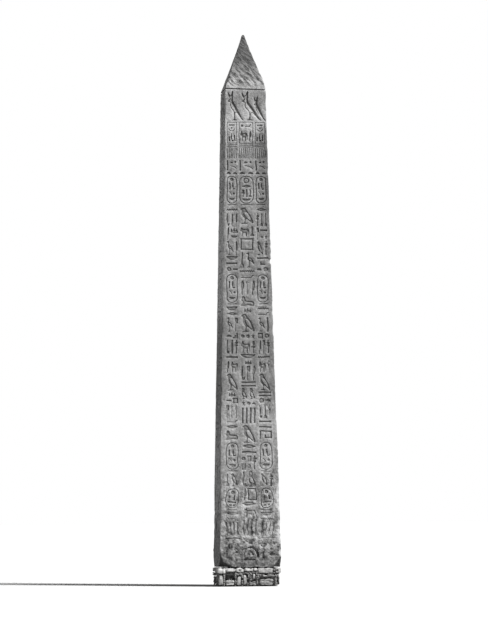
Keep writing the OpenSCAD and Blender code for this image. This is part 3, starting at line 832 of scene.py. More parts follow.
class Flat:
    """The numbered points of one flat side, in metres across it and above the foot."""

    def __init__(self, side):
        self.side = side
        self.points = []
        self.numbers = {}

    def add(self, u, z):
        """The number of the point at a place. Points within a twentieth of a millimetre are one."""
        key = (round(u * 2e4), round(z * 2e4))
        if key not in self.numbers:
            self.numbers[key] = len(self.points)
            self.points.append((float(u), float(z)))
        return self.numbers[key]

    def level(self, z, count):
        return [self.add(u, z) for u in np.linspace(*edges_of(self.side, z), count)]

    def outline(self, cut, loop):
        """Adds a carved outline: its points' numbers, their places and their way in to the floor."""
        loop = wavy(split_long(loop, 0.13), self.side)
        area = sum(a[0] * b[1] - b[0] * a[1] for a, b in zip(loop, loop[1:] + loop[:1]))
        ids = [self.add(u, z) for u, z in (loop[::-1] if area < 0 else loop)]
        ids = [k for i, k in enumerate(ids) if k != ids[i - 1]]
        co = np.array([self.points[k] for k in ids])
        before, after = co - np.roll(co, 1, 0), np.roll(co, -1, 0) - co
        broad = abs(area) / np.linalg.norm(after, axis=1).sum()
        before /= np.linalg.norm(before, axis=1)[:, None]
        after /= np.linalg.norm(after, axis=1)[:, None]
        inward = np.stack([-(before + after)[:, 1], (before + after)[:, 0]], 1)
        inward /= np.maximum(np.linalg.norm(inward, axis=1), 0.5)[:, None]
        # The walls of a motif without notches lean with its breadth, and those of the bowl lean most
        turns = before[:, 0] * after[:, 1] - before[:, 1] * after[:, 0]
        run = min(max(broad * 0.4, 0.014), 0.03) if turns.min() > -1e-6 and cut else WALL_RUN
        if in_bowl(self.side, *co.T).all() and len(loop) < 40:
            run = 0.045
        return ids, co, inward * (run if cut else -run)

    def free_points(self, loops, away, grid):
        """Rows close to the arrises, then a staggered grid, closer inside the motifs."""
        chance = np.random.default_rng(70 + self.side)
        for z in RISES[1:-1]:
            left, right = edges_of(self.side, z)
            for u in (left + 0.02, right - 0.02, left + 0.05, right - 0.05):
                if abs(u) < half_width(z) - 0.01 and away(u, z) > 0.022 and abs(z - SHAFT_H) > 0.012:
                    self.add(u, z)
        row = 0
        z = grid * 0.6
        while z < TOP_H - 0.05:
            left, right = edges_of(self.side, z)
            left, right = left + 0.085, right - 0.085
            if right > left:
                for u in np.linspace(left, right, int((right - left) / grid) + 1 + row % 2 + 1):
                    u += chance.uniform(-0.2, 0.2) * grid * 0.3
                    if away(u, z) > CLEAR and abs(z - SHAFT_H) > 0.03:
                        self.add(u, z)
            z += grid * 0.86
            row += 1
        for cut, loop in loops:
            low, high = np.min(loop, 0), np.max(loop, 0)
            fine = grid * (0.36 if low[1] > TOP_BIRDS_LOW - 0.02 else 0.5)
            if cut and (high - low).min() >= 0.07:
                for z in np.arange(low[1] + fine / 2, high[1], fine):
                    for u in np.arange(low[0] + fine / 2, high[0], fine):
                        if away(u, z) > CLEAR:
                            self.add(u, z)


def distance_to(outline):
    """A function that says how far a place is from the nearest point of the outlines."""
    near = kdtree.KDTree(len(outline))
    for i, (u, z) in enumerate(outline):
        near.insert((u, z, 0.0), i)
    near.balance()
    return lambda u, z: near.find((u, z, 0))[2]


def carved_faces(tris, carved, floor_number):
    """Triangles between the outlines, then those of the floors, then the walls between them."""
    around = ((0, 1), (1, 2), (2, 0))
    floor_edges = {(tri[a], tri[b]) for tri in tris[carved].tolist() for a, b in around}
    walls = [(tri[b], tri[a], int(floor_number[tri[a]]), int(floor_number[tri[b]]))
             for tri in tris[~carved].tolist() for a, b in around if (tri[b], tri[a]) in floor_edges]
    return [tuple(tri) for tri in tris[~carved].tolist() + floor_number[tris[carved]].tolist()] + walls


def carved_side(side, depth, grid):
    """Triangles of one side, carved: positions, outward directions, cavity, rim, map places and faces."""
    flat = Flat(side)
    foot = flat.level(0.0, FOOT_POINTS)
    right_arris = [flat.add(edges_of(side, z)[1], z) for z in RISES]
    left_arris = [flat.add(edges_of(side, z)[0], z) for z in RISES]
    low_line, high_line, neck_line = (flat.level(z, NECK_POINTS) for z in (*GROOVE, SHAFT_H))
    lines = [pair for line in (low_line, high_line, neck_line) for pair in zip(line, line[1:])]
    faces = [foot + right_arris[1:] + left_arris[1:][::-1], low_line + high_line[::-1]]
    loops = face_carving(side)
    insets, outline = {}, []
    for cut, loop in loops:
        ids, co, inward = flat.outline(cut, loop)
        faces.append(ids)
        insets.update(zip(ids, inward))
        outline += split_long(co, 0.02)
    for line, run in ((low_line, WALL_RUN), (high_line, -WALL_RUN)):
        insets.update((k, (0.0, run)) for k in line)
        outline += [flat.points[k] for k in line]
    outline = np.array(outline)
    away = distance_to(outline)
    flat.free_points(loops, away, grid)
    verts, _, tris, _, _, owner = geometry.delaunay_2d_cdt(
        [Vector(p) for p in flat.points], lines, faces, 1, 1e-6)
    co = np.array([(v.x, v.y) for v in verts])
    tris = np.array(tris)
    # What an odd number of outlines encloses is carved
    carved = np.array([sum(f > 0 for f in faces_of) % 2 == 1 for faces_of in owner])
    inset = np.zeros_like(co)
    inset[list(insets)] = list(insets.values())
    distance = np.array([away(u, z) for u, z in co])
    # Floor of the carving: its own points, drawn in a little and sunk
    sunk = np.unique(tris[carved])
    floor_number = np.full(len(co), -1)
    floor_number[sunk] = len(co) + np.arange(len(sunk))
    deep, cavity = floor_of_carving(side, co[sunk], inset[sunk], distance[sunk], outline, depth)
    floor = co[sunk] + inset[sunk]
    spare = np.where(in_groove(co[sunk, 1]), deep, 0)
    floor[:, 0] = np.clip(floor[:, 0], spare - reach_of(side - 1, floor[:, 1]),
                          reach_of(side + 1, floor[:, 1]) - spare)
    # Painted highlights along the outlines, and a brighter painted highlight round the bowl
    rim = np.clip(1 - distance / 0.055, 0, 1)
    rim = np.where(in_bowl(side, *co.T, 0.04) & (co[:, 1] < 1.1), rim * 3.0, rim)
    places = np.concatenate([co, floor])
    sink = np.concatenate([lips_of_carving(side, co, distance), deep])
    cavity = np.concatenate([np.zeros(len(co)), cavity])
    rim = np.concatenate([rim, np.zeros(len(sunk))])
    faces = carved_faces(tris, carved, floor_number)
    return place_on_side(side, places, sink) + (cavity, rim, places, faces)


def place_on_side(side, places, sink):
    """Points of a flat side set in space and sunk square to it, with the side's outward direction."""
    u, z = places.T
    step = 0.01
    slope = (reach_of(side, z - step) - reach_of(side, z + step)) / (2 * step)
    slope = np.where(np.abs(z - SHAFT_H) < step, 0.022, slope)
    tilt = np.arctan(slope)
    co = np.stack([u, sink * np.cos(tilt) - reach_of(side, z), z - sink * np.sin(tilt)], 1)
    out = np.stack([np.zeros_like(u), -np.cos(tilt), np.sin(tilt)], 1)
    turn = turn_of(side)
    return co @ turn.T, out @ turn.T


def level_part(co, up, faces):
    """A plain level part of the monolith, in the form in which carved_side returns a side."""
    plain = np.zeros(len(co))
    return co, np.tile((0.0, 0.0, up), (len(co), 1)), plain, plain, co[:, :2], faces


def underside():
    rim = []
    for side in range(4):
        for u in np.linspace(*edges_of(side, 0), FOOT_POINTS)[:-1]:
            rim.append(tuple((np.array([u, -FOOT_W / 2, 0]) @ turn_of(side).T)[:2]))
    steps = np.arange(-1.15, 1.2, 0.1)
    inner = [(x, y) for x in steps for y in steps if max(abs(x), abs(y)) < FOOT_W / 2 - 0.03]
    verts, _, tris, _, _, _ = geometry.delaunay_2d_cdt([Vector(p) for p in rim + inner], [],
                                                       [list(range(len(rim)))], 1, 1e-6)
    return level_part(np.array([(v.x, v.y, 0.0) for v in verts]), -1.0, [tuple(tri)[::-1] for tri in tris])


def tip():
    corners = [(x * TIP_W / 2, y * TIP_W / 2, TOP_H) for x, y in ((-1, -1), (1, -1), (1, 1), (-1, 1), (0, 0))]
    return level_part(np.array(corners), 1.0, [(0, 1, 4), (1, 2, 4), (2, 3, 4), (3, 0, 4)])


def monolith_mesh(depth, grid):
    """The whole monolith as one closed mesh, with its attributes."""
    parts = [carved_side(side, depth, grid) for side in range(4)] + [underside(), tip()]
    counts = [len(part[0]) for part in parts]
    faces = [tuple(k + start for k in face) for start, part in zip(np.cumsum([0] + counts).tolist(), parts)
             for face in part[-1]]
    co, outward, cavity, rim, places = (np.concatenate(values) for values in list(zip(*parts))[:-1])
    wear = arris_wear(co)
    worn, broken = break_corners(out_of_true(co - wear))
    worn[:, 2] += FOOT_Z
    mesh = bpy.data.meshes.new("obelisk_monolith_worn")
    mesh.from_pydata([tuple(p) for p in worn], [], faces)
    outward = outward.astype(np.float32).ravel()
    mesh.attributes.new("outward", "FLOAT_VECTOR", "POINT").data.foreach_set("vector", outward)
    worn_share = np.clip(np.linalg.norm(wear, axis=1) / 0.03, 0, 1)
    # cavity and broken carry painted shade, rim carries painted highlights, and worn makes the worn edges
    # paler
    for name, values in (("cavity", cavity), ("rim", rim), ("broken", broken), ("worn", worn_share)):
        mesh.attributes.new(name, "FLOAT", "POINT").data.foreach_set("value", values.astype(np.float32))
    map_strips(mesh, places, np.repeat(range(len(parts)), counts))
    close_seams(mesh)
    return mesh


def map_strips(mesh, places, part):
    """Lays the map out as upright strips, two to a side, with the underside and the tip in the last one."""
    layer = mesh.uv_layers.new(name="OFBake")
    loops = np.zeros(len(mesh.loops), np.int32)
    mesh.loops.foreach_get("vertex_index", loops)
    uv = np.zeros((len(loops), 2))
    strip = 1.0 / 9.0
    for polygon in mesh.polygons:
        rows = slice(polygon.loop_start, polygon.loop_start + polygon.loop_total)
        u, v = places[loops[rows]].T
        side = part[loops[polygon.loop_start]]
        if side < 4:
            half = 1 if v.mean() > TOP_H / 2 else 0
            uv[rows, 0] = strip * (2 * side + half + 0.5 + u / FOOT_W * 0.92)
            uv[rows, 1] = 0.005 + 0.97 * (v - half * TOP_H / 2) / (TOP_H / 2)
        elif side == 4:
            uv[rows, 0] = strip * (8.5 + u / FOOT_W * 0.9)
            uv[rows, 1] = 0.2 + v / FOOT_W * 0.3
        else:
            uv[rows, 0] = strip * 8.5 + u * 0.5
            uv[rows, 1] = 0.6 + v * 0.5
    layer.data.foreach_set("uv", uv.astype(np.float32).ravel())
    layer.active_render = True


def close_seams(mesh):
    """Welds the sides along the arrises and counts the edges that stay open."""
    work = bmesh.new()
    work.from_mesh(mesh)
    bmesh.ops.remove_doubles(work, verts=work.verts, dist=0.0002)
    open_edges = sum(len(e.link_faces) != 2 for e in work.edges)
    print("monolith:", len(work.faces), "faces,", open_edges, "open edges, volume",
          round(work.calc_volume(signed=True), 2))
    work.to_mesh(mesh)
    work.free()
    mesh.validate()


# Wear of the monolith

# Mean and least wear of the arrises, and how many nicks and waves each one has by chance
MEAN_WEAR, LEAST_WEAR = 0.010, 0.004
NICKS, WAVES = 46, 8
# Depth of the chamfer low on the front right arris
CHAMFER = 0.10
# Wear of the edge of the foot and how far up and in it reaches
FOOT_WEAR, FOOT_WEAR_REACH = 0.022, 0.08


def wear_up_arris(corner, z):
    """Depth of wear of an arris at each height: wavy, with nicks by chance and the chips."""
    chance = np.random.default_rng(300 + corner)
    nicks = [chip[1:] for chip in CHIPS if chip[0] == corner]
    nicks += [(chance.uniform(0.3, TOP_H - 0.4), chance.uniform(0.09, 0.30), chance.uniform(0.012, 0.034))
              for _ in range(NICKS)]
    waves = [(chance.uniform(0.4, 5.0), chance.uniform(0, 6.28), chance.uniform(0.0015, 0.004))
             for _ in range(WAVES)]
    amount = MEAN_WEAR + sum(deep * np.sin(z * rate + phase) for rate, phase, deep in waves) * 0.8
    amount = np.maximum(amount, LEAST_WEAR)
    # The back left arris is nearly sharp towards its top
    if corner == 3:
        amount = np.where(z > 12, LEAST_WEAR, amount * 0.6)
    for at, length, deep in nicks:
        t = (z - at) / (length / 2)
        amount = np.maximum(amount, deep * np.sqrt(np.clip(1 - t * t, 0, 1)))
    return np.where(z > TOP_H - 0.25, np.maximum(amount, 0.012), amount)


def arris_wear(co):
    """How far each point moves in from its arris."""
    wear = np.zeros_like(co)
    z = co[:, 2]
    for corner in range(4):
        turn = turn_of(corner)
        local = co @ turn
        beside_a, beside_b = local[:, 0] + reach_of(corner - 1, z), local[:, 1] + reach_of(corner, z)
        # On the two arrises that stand against the sky the nicks reach further round the hidden side
        across = np.maximum(beside_a * (0.4 if corner == 1 else 1.0),
                            beside_b * (0.4 if corner == 3 else 1.0))
        amount = wear_up_arris(corner, z)
        shift = amount * np.clip(1 - across / np.maximum(0.045, amount * 2.1), 0, 1) ** 1.6
        # A notched chamfer low on the front right arris
        if corner == 1:
            ends = np.clip((z - 0.3) / 0.2, 0, 1) * np.clip((3.5 - z) / 0.4, 0, 1)
            notches = 1 + 0.18 * np.sin(z * 8.3) * np.sin(z * 3.1 + 1) + 0.16 * np.sin(z * 21.0 + 2)
            inner = np.maximum(beside_a, beside_b)
            shift = np.maximum(shift, 0.707 * (CHAMFER * ends * notches - inner))
        shift = np.where((local[:, 0] < 0) & (local[:, 1] < 0), shift, 0.0)
        wear += shift[:, None] * (turn @ np.array([-0.7071, -0.7071, 0.0]))
    # The edge of the foot is worn round too
    for side in range(4):
        turn = turn_of(side)
        u, y, _ = (co @ turn).T
        amount = FOOT_WEAR + 0.012 * np.sin(u * 9.0 + side * 2.0) + 0.008 * np.sin(u * 23.0 + side)
        fall = np.clip(1 - np.maximum(y + reach_of(side, z), z) / FOOT_WEAR_REACH, 0, 1)
        wear += (amount * fall ** 1.5)[:, None] * (turn @ np.array([0.0, -0.6, -0.8]))
    return wear


def out_of_true(co):
    """The neck is a little out of level, the back left arris leans out near the top, the right side stands
    upright near the foot and the tip is blunt."""
    co = co.copy()
    z = co[:, 2].copy()
    co[:, 2] += (0.028 - 0.028 * co[:, 0]) * np.interp(z, [17.4, 18.84, 18.98, 21.0], [0, 1, 1, 0])
    half = half_width(z)
    lean = np.interp(z, [0, 9, 18.9, 20.2], [0, 0.008, 0.03, 0])
    co[:, 0] -= lean * np.clip(0.5 + co[:, 1] / half / 2, 0, 1) * np.clip(-co[:, 0] / half, 0, 1)
    flare = np.interp(z, [0, 0.5, 1.2, 2.2, 4.5, 6.5], [0.01, 0.045, 0.055, 0.034, 0.028, 0])
    co[:, 0] += flare * np.clip((co[:, 0] / half - 0.75) / 0.25, 0, 1)
    blunt = 0.024 * np.clip((z - 20.85) / 0.33, 0, 1) / half
    co[:, :2] *= 1 + blunt[:, None]
    return co


def break_corners(co):
    """Moves the points of the broken lower corners in, and says how much each point is broken."""
    out = co.copy()
    broken = np.zeros(len(co))
    for corner in range(4):
        planes = np.array([b[1:] for b in BREAKS if b[0] == corner])
        turn = turn_of(corner)
        local = out @ turn
        near = (local[:, 2] < 1.0) & (local[:, 0] < -0.4) & (local[:, 1] < -0.4)
        # Distances in from the two sides and up from the foot
        from_corner = np.array([FOOT_W / 2, FOOT_W / 2, 0.0])
        p = local[near]
        inside = p + from_corner - p[:, 2:] * (LEAN, LEAN, 0.0)
        direction = planes.mean(0)[[1, 2, 0]]
        direction /= np.linalg.norm(direction)
        move = np.zeros(len(p))
        for up, along_a, along_b in planes:
            weights = np.array([1 / along_a, 1 / along_b, 1 / up])
            move = np.maximum(move, (1 - inside @ weights) / (direction @ weights))
        a, b, c, d = (np.sin(inside @ np.array(rates) + shift) for rates, shift in (
            ((31.0, 17.0, 23.0), corner), ((-13.0, 29.0, 19.0), 2 * corner),
            ((61.0, -47.0, 71.0), 0), ((53.0, 67.0, -59.0), corner)))
        rough = a * b + 0.6 * c * d
        move = np.where(move > 0, move * (1.0 + 0.14 * rough) + np.minimum(move, 0.02) * 0.5, 0.0)
        broken[near] = np.maximum(broken[near], np.clip(move / 0.05, 0, 1))
        moved = inside + move[:, None] * direction
        local[near] = moved - from_corner + moved[:, 2:] * (LEAN, LEAN, 0.0)
        out = local @ turn.T
    return out, broken


# Geometry Nodes trees

SOCKETS = {float: "NodeSocketFloat", int: "NodeSocketInt", tuple: "NodeSocketVector",
           type(None): "NodeSocketMaterial"}


def new_group(name, inputs):
    """A group with a geometry in and out and the named inputs: its tree and the values that come in."""
    group = bpy.data.node_groups.new(name, "GeometryNodeTree")
    for way in ("INPUT", "OUTPUT"):
        group.interface.new_socket("Geometry", in_out=way, socket_type="NodeSocketGeometry")
    for label, default in inputs.items():
        socket = group.interface.new_socket(label, in_out="INPUT", socket_type=SOCKETS[type(default)])
        if default is not None:
            socket.default_value = default
    tree = Tree(group)
    entry = tree.node("NodeGroupInput").socket.node
    return tree, {s.name: Value(tree, s) for s in entry.outputs if s.name}


def finish_group(tree, shape, stone):
    """Ends a group with real meshes of one material."""
    whole = tree.node("GeometryNodeRealizeInstances", None, {"Geometry": shape})
    done = tree.node("GeometryNodeSetMaterial", None, {"Geometry": whole, "Material": stone})
    tree.node("NodeGroupOutput", None, {"Geometry": done})
    return tree.tree


def run_group(piece, group, values):
    """Runs a group on a piece with its inputs set, and keeps the plain mesh that comes out."""
    modifier = piece.modifiers.new(group.name, "NODES")
    modifier.node_group = group
    for item in group.interface.items_tree:
        if item.in_out == "INPUT" and item.name in values:
            modifier[item.identifier] = values[item.name]
    bpy.context.view_layer.update()
    evaluated = piece.evaluated_get(bpy.context.evaluated_depsgraph_get())
    made = bpy.data.meshes.new_from_object(evaluated)
    old = piece.data
    piece.modifiers.clear()
    piece.data = made
    bpy.data.meshes.remove(old)
    made.name = piece.name


def weathering_group():
    """Broad waves and pits in the dressed faces, deeper near the foot."""
    tree, value = new_group("Weathering", {
        "Undulation": 0.006, "Pitting": 0.010, "Worn height": 4.0, "Seed": 0.0, "Stone": None})
    outward = tree.node("GeometryNodeInputNamedAttribute", {"data_type": "FLOAT_VECTOR"}, {"Name": "outward"})
    place = tree.place()
    shifted = tree.vector("ADD", place, value["Seed"])
    weight = (place.part("Z") - FOOT_Z).smooth(value["Worn height"] * 0.35, value["Worn height"], 1.0, 0.0)
    pits = tree.noise(shifted, 5.5, 3.0, 0.6).smooth(0.5, 0.75) * value["Pitting"] * (0.25 + weight * 1.6)
    amount = tree.noise(shifted, 0.9) * value["Undulation"] * (1.0 + weight * 2.0) + pits
    moved = tree.moved(value["Geometry"], Offset=tree.vector("SCALE", outward, Scale=-amount))
    return finish_group(tree, moved, value["Stone"])


def stone_group():
    """One rough stone in its box: rounded like a worn block, a little askew, dented and pitted."""
    tree, value = new_group("Rough stone", {
        "Size": (0.3, 0.3, 0.3), "Centre": (0.0, 0.0, 0.0), "Points X": 12, "Points Y": 12, "Points Z": 12,
        "Squareness": 6.0, "Askew": 0.1, "Roughness": 0.02, "Seed": 0.0, "Hole": (0.0, 0.0, 0.0),
        "Hole radius": 0.0, "Own tone": 0.0, "Layers": 0.0, "Sag": 0.0, "Stone": None})
    # A block whose points lie on a rounded cube, leaning a little
    block = tree.node("GeometryNodeMeshCube", None, {
        "Size": (2.0, 2.0, 2.0), "Vertices X": value["Points X"], "Vertices Y": value["Points Y"],
        "Vertices Z": value["Points Z"]})
    place = tree.place()
    x, y, z = (place.part(axis) for axis in "XYZ")
    n = value["Squareness"]
    reach = (abs(x) ** n + abs(y) ** n + abs(z) ** n) ** (1.0 / n)
    x, y, z = x / reach, y / reach, z / reach
    seed, askew = value["Seed"], value["Askew"]
    lean = [(seed * rate).sine() * askew for rate in (12.9, 7.3, 5.1, 9.7)]
    total = 1.0 + askew * 1.4
    leaning = tree.combine(x * (1.0 + lean[0] * z + lean[1] * y) / total, y,
                           z * (1.0 + lean[2] * x + lean[3] * y) / total)
    half = tree.vector("SCALE", value["Size"], Scale=0.5)
    shaped = tree.moved(block, Position=tree.vector("MULTIPLY_ADD", leaning, half, value["Centre"]))
    # Dents, layers, a sagging top and a hole
    here = tree.vector("ADD", place, tree.combine(seed, seed * 0.37, 0.0))
    normal = tree.node("GeometryNodeInputNormal")
    upward = normal.part("Z")
    knock = tree.cells(here, 7.0)
    fine = tree.noise(here, 22.0, 3.0, 0.6)
    layers = tree.noise(tree.vector("MULTIPLY", here, (3.2, 3.2, 10.0)), 1.0, 2.0, 0.6).smooth(0.42, 0.58)
    amount = ((tree.noise(here, 4.5, 1.0) * 0.9 + knock * 0.9 + fine * 0.55) * value["Roughness"]
              + layers * (1.0 - abs(upward)) * value["Layers"])
    up = (place.part("Z") - value["Centre"].part("Z")) / (value["Size"].part("Z") * 0.5)
    dip = tree.noise(tree.vector("MULTIPLY", here, (1.0, 1.0, 0.0)), 5.5, 1.0).smooth(0.42, 0.66)
    dip = dip * value["Sag"] * up.smooth(0.1, 0.9)
    away = tree.vector("DISTANCE", place, value["Hole"], output=1)
    hole = (away / value["Hole radius"].most(0.001)).smooth(0.55, 1.0, 1.0, 0.0)
    inward = tree.vector("SCALE", normal, Scale=-(amount * upward.smooth(0.6, 0.95, 1.0, 0.35)))
    offset = tree.vector("ADD", inward, tree.combine(0.0, hole * 0.09, -dip))
    dented = tree.moved(shaped, Offset=offset)
    # Dents and the hole, which the material darkens with painted shade
    pits = (knock.smooth(0.35, 0.8) * 0.6 + fine.smooth(0.5, 0.75) * 0.5).most(hole)
    pitted = tree.noted(dented, "pit", pits)
    # Own tone, plus painted light at the top of the stone and painted shade towards its bottom
    toned = tree.noted(pitted, "own_tone", value["Own tone"] + up.smooth(-0.7, 0.6, -1.6, 0.6))
    return finish_group(tree, tree.above_ground(tree.smoothed(toned)), value["Stone"])


def rubble_group():
    """Draws the joints of packed rubble into a closed block."""
    tree, value = new_group("Packed rubble", {"Stones": 6.0, "Joint depth": 0.035, "Stone": None})
    place = tree.place()
    warp = tree.noise(place, 5.0)
    flat = tree.vector("ADD", tree.vector("MULTIPLY", place, (1.0, 1.0, 1.9)), warp * 0.12)
    joint = tree.cells(flat, value["Stones"], "DISTANCE_TO_EDGE").smooth(0.0, 0.22, 1.0, 0.0)
    amount = joint * value["Joint depth"] + warp * 0.02 + tree.noise(place, 24.0, 3.0, 0.6) * 0.012
    inward = tree.vector("SCALE", tree.node("GeometryNodeInputNormal"), Scale=-amount)
    moved = tree.moved(value["Geometry"], Offset=inward)
    # The joints, which the material darkens with painted shade
    return finish_group(tree, tree.smoothed(tree.noted(moved, "pit", joint)), value["Stone"])


def scatter_group():
    """Sets a small flat stone on every point, each turned and sized by chance."""
    tree, value = new_group("Joint rubble", {"Width": 0.06, "Seed": 0, "Stone": None})
    ball = tree.node("GeometryNodeMeshIcoSphere", None, {"Radius": 0.5, "Subdivisions": 2})
    place = tree.place()
    lump = tree.moved(ball, Position=tree.vector("SCALE", place, Scale=1.0 - tree.cells(place, 1.6) * 0.42))

    def by_chance(low, high):
        return tree.node("FunctionNodeRandomValue", {"data_type": "FLOAT_VECTOR"},
                         {"Min": low, "Max": high, "Seed": value["Seed"]})

    size = tree.vector("SCALE", by_chance((0.7, 0.7, 0.4), (1.5, 1.5, 0.9)), Scale=value["Width"])
    points = tree.node("GeometryNodeMeshToPoints", None, {"Mesh": value["Geometry"]})
    stones = tree.node("GeometryNodeInstanceOnPoints", None, {
        "Points": points, "Instance": lump, "Rotation": by_chance((-0.4, -0.4, 0.0), (0.4, 0.4, 6.28)),
        "Scale": size})
    whole = tree.node("GeometryNodeRealizeInstances", None, {"Geometry": stones})
    return finish_group(tree, tree.smoothed(tree.above_ground(whole)), value["Stone"])


# Materials

# Tone of the front by height, as shares of the monolith's height and of the mean grey
FRONT_TONES = ((0.0, .46), (.02, .64), (.04, .98), (.14, 1.08), (.24, 1.19), (.30, 1.20), (.345, .90),
               (.39, .72), (.43, .73), (.475, .98), (.52, .93), (.565, .86), (.61, 1.0), (.70, 1.0),
               (.755, .97), (.79, 1.12), (.835, 1.90), (.87, 1.06), (.90, 1.30), (.925, .66), (.95, .29),
               (1.0, .25))
# Tone of the side to the left of the front by height
LEFT_TONES = ((0.0, .64), (.055, .52), (.11, 1.0), (.20, 1.06), (.28, .56), (.36, .42), (.44, .52),
              (.50, 1.35), (.60, 1.42), (.70, 1.0), (.80, 1.05), (.86, .84), (.92, .60), (1.0, .40))
# Slope of the streaks on the pyramidion
SLANT = math.radians(-42)


def grey(level):
    return (level, level, level, 1.0)


def new_material(name):
    material = bpy.data.materials.new(name)
    material.use_nodes = True
    material.node_tree.nodes.clear()
    return material, Tree(material.node_tree)


def finish_material(tree, colour, roughness, height, distance, strength=1.0):
    """Joins a colour, a roughness and a height to one surface shader."""
    bump = tree.node("ShaderNodeBump", None, {"Height": height, "Distance": distance, "Strength": strength})
    shader = tree.node("ShaderNodeBsdfPrincipled", None, {
        "Base Color": colour, "Roughness": roughness, "Normal": bump, "Specular IOR Level": 0.35})
    tree.node("ShaderNodeOutputMaterial", None, {"Surface": shader})


def tone_by_height(tree, share, tones):
    """A smooth run of tones up the stone. The ramp holds half of each tone."""
    return tree.ramp(share, [(at, grey(tone / 2)) for at, tone in tones], "EASE").part("X") * 2.0


def granite_material(level, contrast):
    """Weathered granite: mottled grey, streaked by rain and paler where worn, with painted shade in the
    carving's floors and on the broken corners, and painted highlights along the carved outlines.
    """
    material, tree = new_material("Carved granite")
    place = tree.node("ShaderNodeTexCoord", None, None, 3)
    hollow, rim, worn, broken = (tree.attribute(name) for name in ("cavity", "rim", "worn", "broken"))
    x, z = place.part("X"), place.part("Z") - FOOT_Z
    share = z / TOP_H
    left = (-tree.attribute("outward", 1).part("X")).smooth(0.4, 0.8)
    broad = tree.noise(place, 0.55, 3.0, 0.55)
    patch = tree.noise(tree.mapped(place, Scale=(1.0, 1.0, 0.6)), 2.2, 4.0, 0.62)
    blotch = tree.noise(place, 5.0, 3.0, 0.6)
    grainy = tree.noise(place, 11.0, 3.0, 0.7)
    streak = tree.noise(tree.mapped(place, Scale=(7.0, 7.0, 0.35)), 1.0, 3.0, 0.6)
    speck = tree.noise(place, 26.0, 3.0, 0.65)
    crystal = tree.cells(place, 55.0)
    low = z.smooth(1.2, 5.6, 1.0, 0.0)
    foot = z.smooth(0.4, 1.5, 1.0, 0.0)
    tone = (1.0 + (broad - 0.5) * 0.6 * contrast + (patch - 0.5) * 0.7 * contrast
            + (streak - 0.5) * 0.5 * contrast)
    tone = tone + (blotch - 0.5) * contrast * (0.55 + low * 1.8 + foot * 1.5)
    tone = tone + left * ((streak - 0.5) * 1.3 + (grainy - 0.5) * 1.4 + (patch - 0.5) * 0.8)
    tone = tone + (grainy - 0.5) * contrast * (1.0 + foot * 0.8) + (speck - 0.5) * 0.7 * contrast
    tone = tone + (crystal - 0.4) * 0.16 * contrast
    # Slanting streaks on the pyramidion
    turned = tree.mapped(place, Rotation=(0.0, SLANT, 0.0))
    slant = tree.noise(tree.mapped(turned, Scale=(3.0, 3.0, 10.0)), 1.0, 2.0, 0.5).smooth(0.38, 0.62)
    top = z.smooth(SHAFT_H, SHAFT_H + 0.3)
    tone = tone + top * ((slant - 0.5) * 1.15 + (grainy - 0.5) * 1.2)
    # The right of the front is darker near the top
    across = (x / (0.8 + (SHAFT_H - z) * 0.022)).smooth(0.35, 0.75)
    dark = across * z.smooth(13.4, 14.6) * z.smooth(17.2, 17.8, 1.0, 0.0) * (1.0 - left)
    tone = tone * (1.0 - dark * 0.42)
    tone = tone * (tone_by_height(tree, share, FRONT_TONES) * (1.0 - left)
                   + tone_by_height(tree, share, LEFT_TONES) * left)
    # Paler where the edges are worn, most of all in blotches low on the right
    paler = 0.3 + low * x.smooth(0.9, 1.1) * blotch.smooth(0.36, 0.6) * 1.15
    # Painted shade in the carving's floors, then paler worn edges
    tone = tone * (1.0 - hollow * 0.26) * (1.0 + worn * paler)
    # Painted highlights along the carved outlines, and painted shade on the broken lower corners
    tone = tone * (1.0 + rim * (0.14 + patch * 0.3)) * (1.0 - broken * 0.87)
    middle = (level, level * 0.995, level * 0.985, 1.0)
    base = tree.ramp(tone * 0.5, ((0.0, grey(level * 0.10)), (0.5, middle), (1.0, grey(level * 2.0))))
    rough = 0.74 + (speck - 0.5) * 0.25 + hollow * 0.1
    height = (speck * 0.5 + crystal * 0.2 + patch * 0.9 + blotch * (1.2 + low * 3.0)
              + grainy * (1.3 + low * 0.9) + top * slant * 1.2)
    finish_material(tree, base, rough, height, 0.018)
    return material


def footing_material(name, level, seed, painted_hollow_shade):
    """Pale packed stone: chalky faces with pits, painted shade in the hollows and joints, and painted light
    and shade from the top to the bottom of each stone.
    """
    material, tree = new_material(name)
    object_place = tree.node("ShaderNodeTexCoord", None, None, 3)
    place = tree.mapped(object_place, Location=(seed, seed * 0.7, seed * 0.3))
    pit, toned_and_shaded = tree.attribute("pit"), tree.attribute("own_tone")
    broad = tree.noise(place, 1.7)
    patch = tree.noise(place, 7.0, 4.0, 0.62)
    speck = tree.noise(place, 45.0, 3.0, 0.6)
    layer = tree.noise(tree.mapped(place, Scale=(2.0, 2.0, 16.0)), 1.0, 3.0, 0.6)
    tone = 1.0 + (broad - 0.5) * 0.6 + (patch - 0.5) * 1.1 + (speck - 0.5) * 0.5 + (layer - 0.5) * 0.5
    # Painted shade in the dents, holes and joints, and the own tone with painted light and shade
    tone = tone * (1.0 - pit * painted_hollow_shade) * (1.0 + toned_and_shaded * 0.2)
    middle = (level, level * 0.993, level * 0.975, 1.0)
    palest = grey(min(0.92, level * 1.5))
    base = tree.ramp(tone * 0.5, ((0.0, grey(level * 0.2)), (0.5, middle), (1.0, palest)))
    height = patch * 1.1 + speck * 0.3 + layer * 0.5
    finish_material(tree, base, 0.88 + (speck - 0.5) * 0.2, height, 0.014, 0.9)
    return material


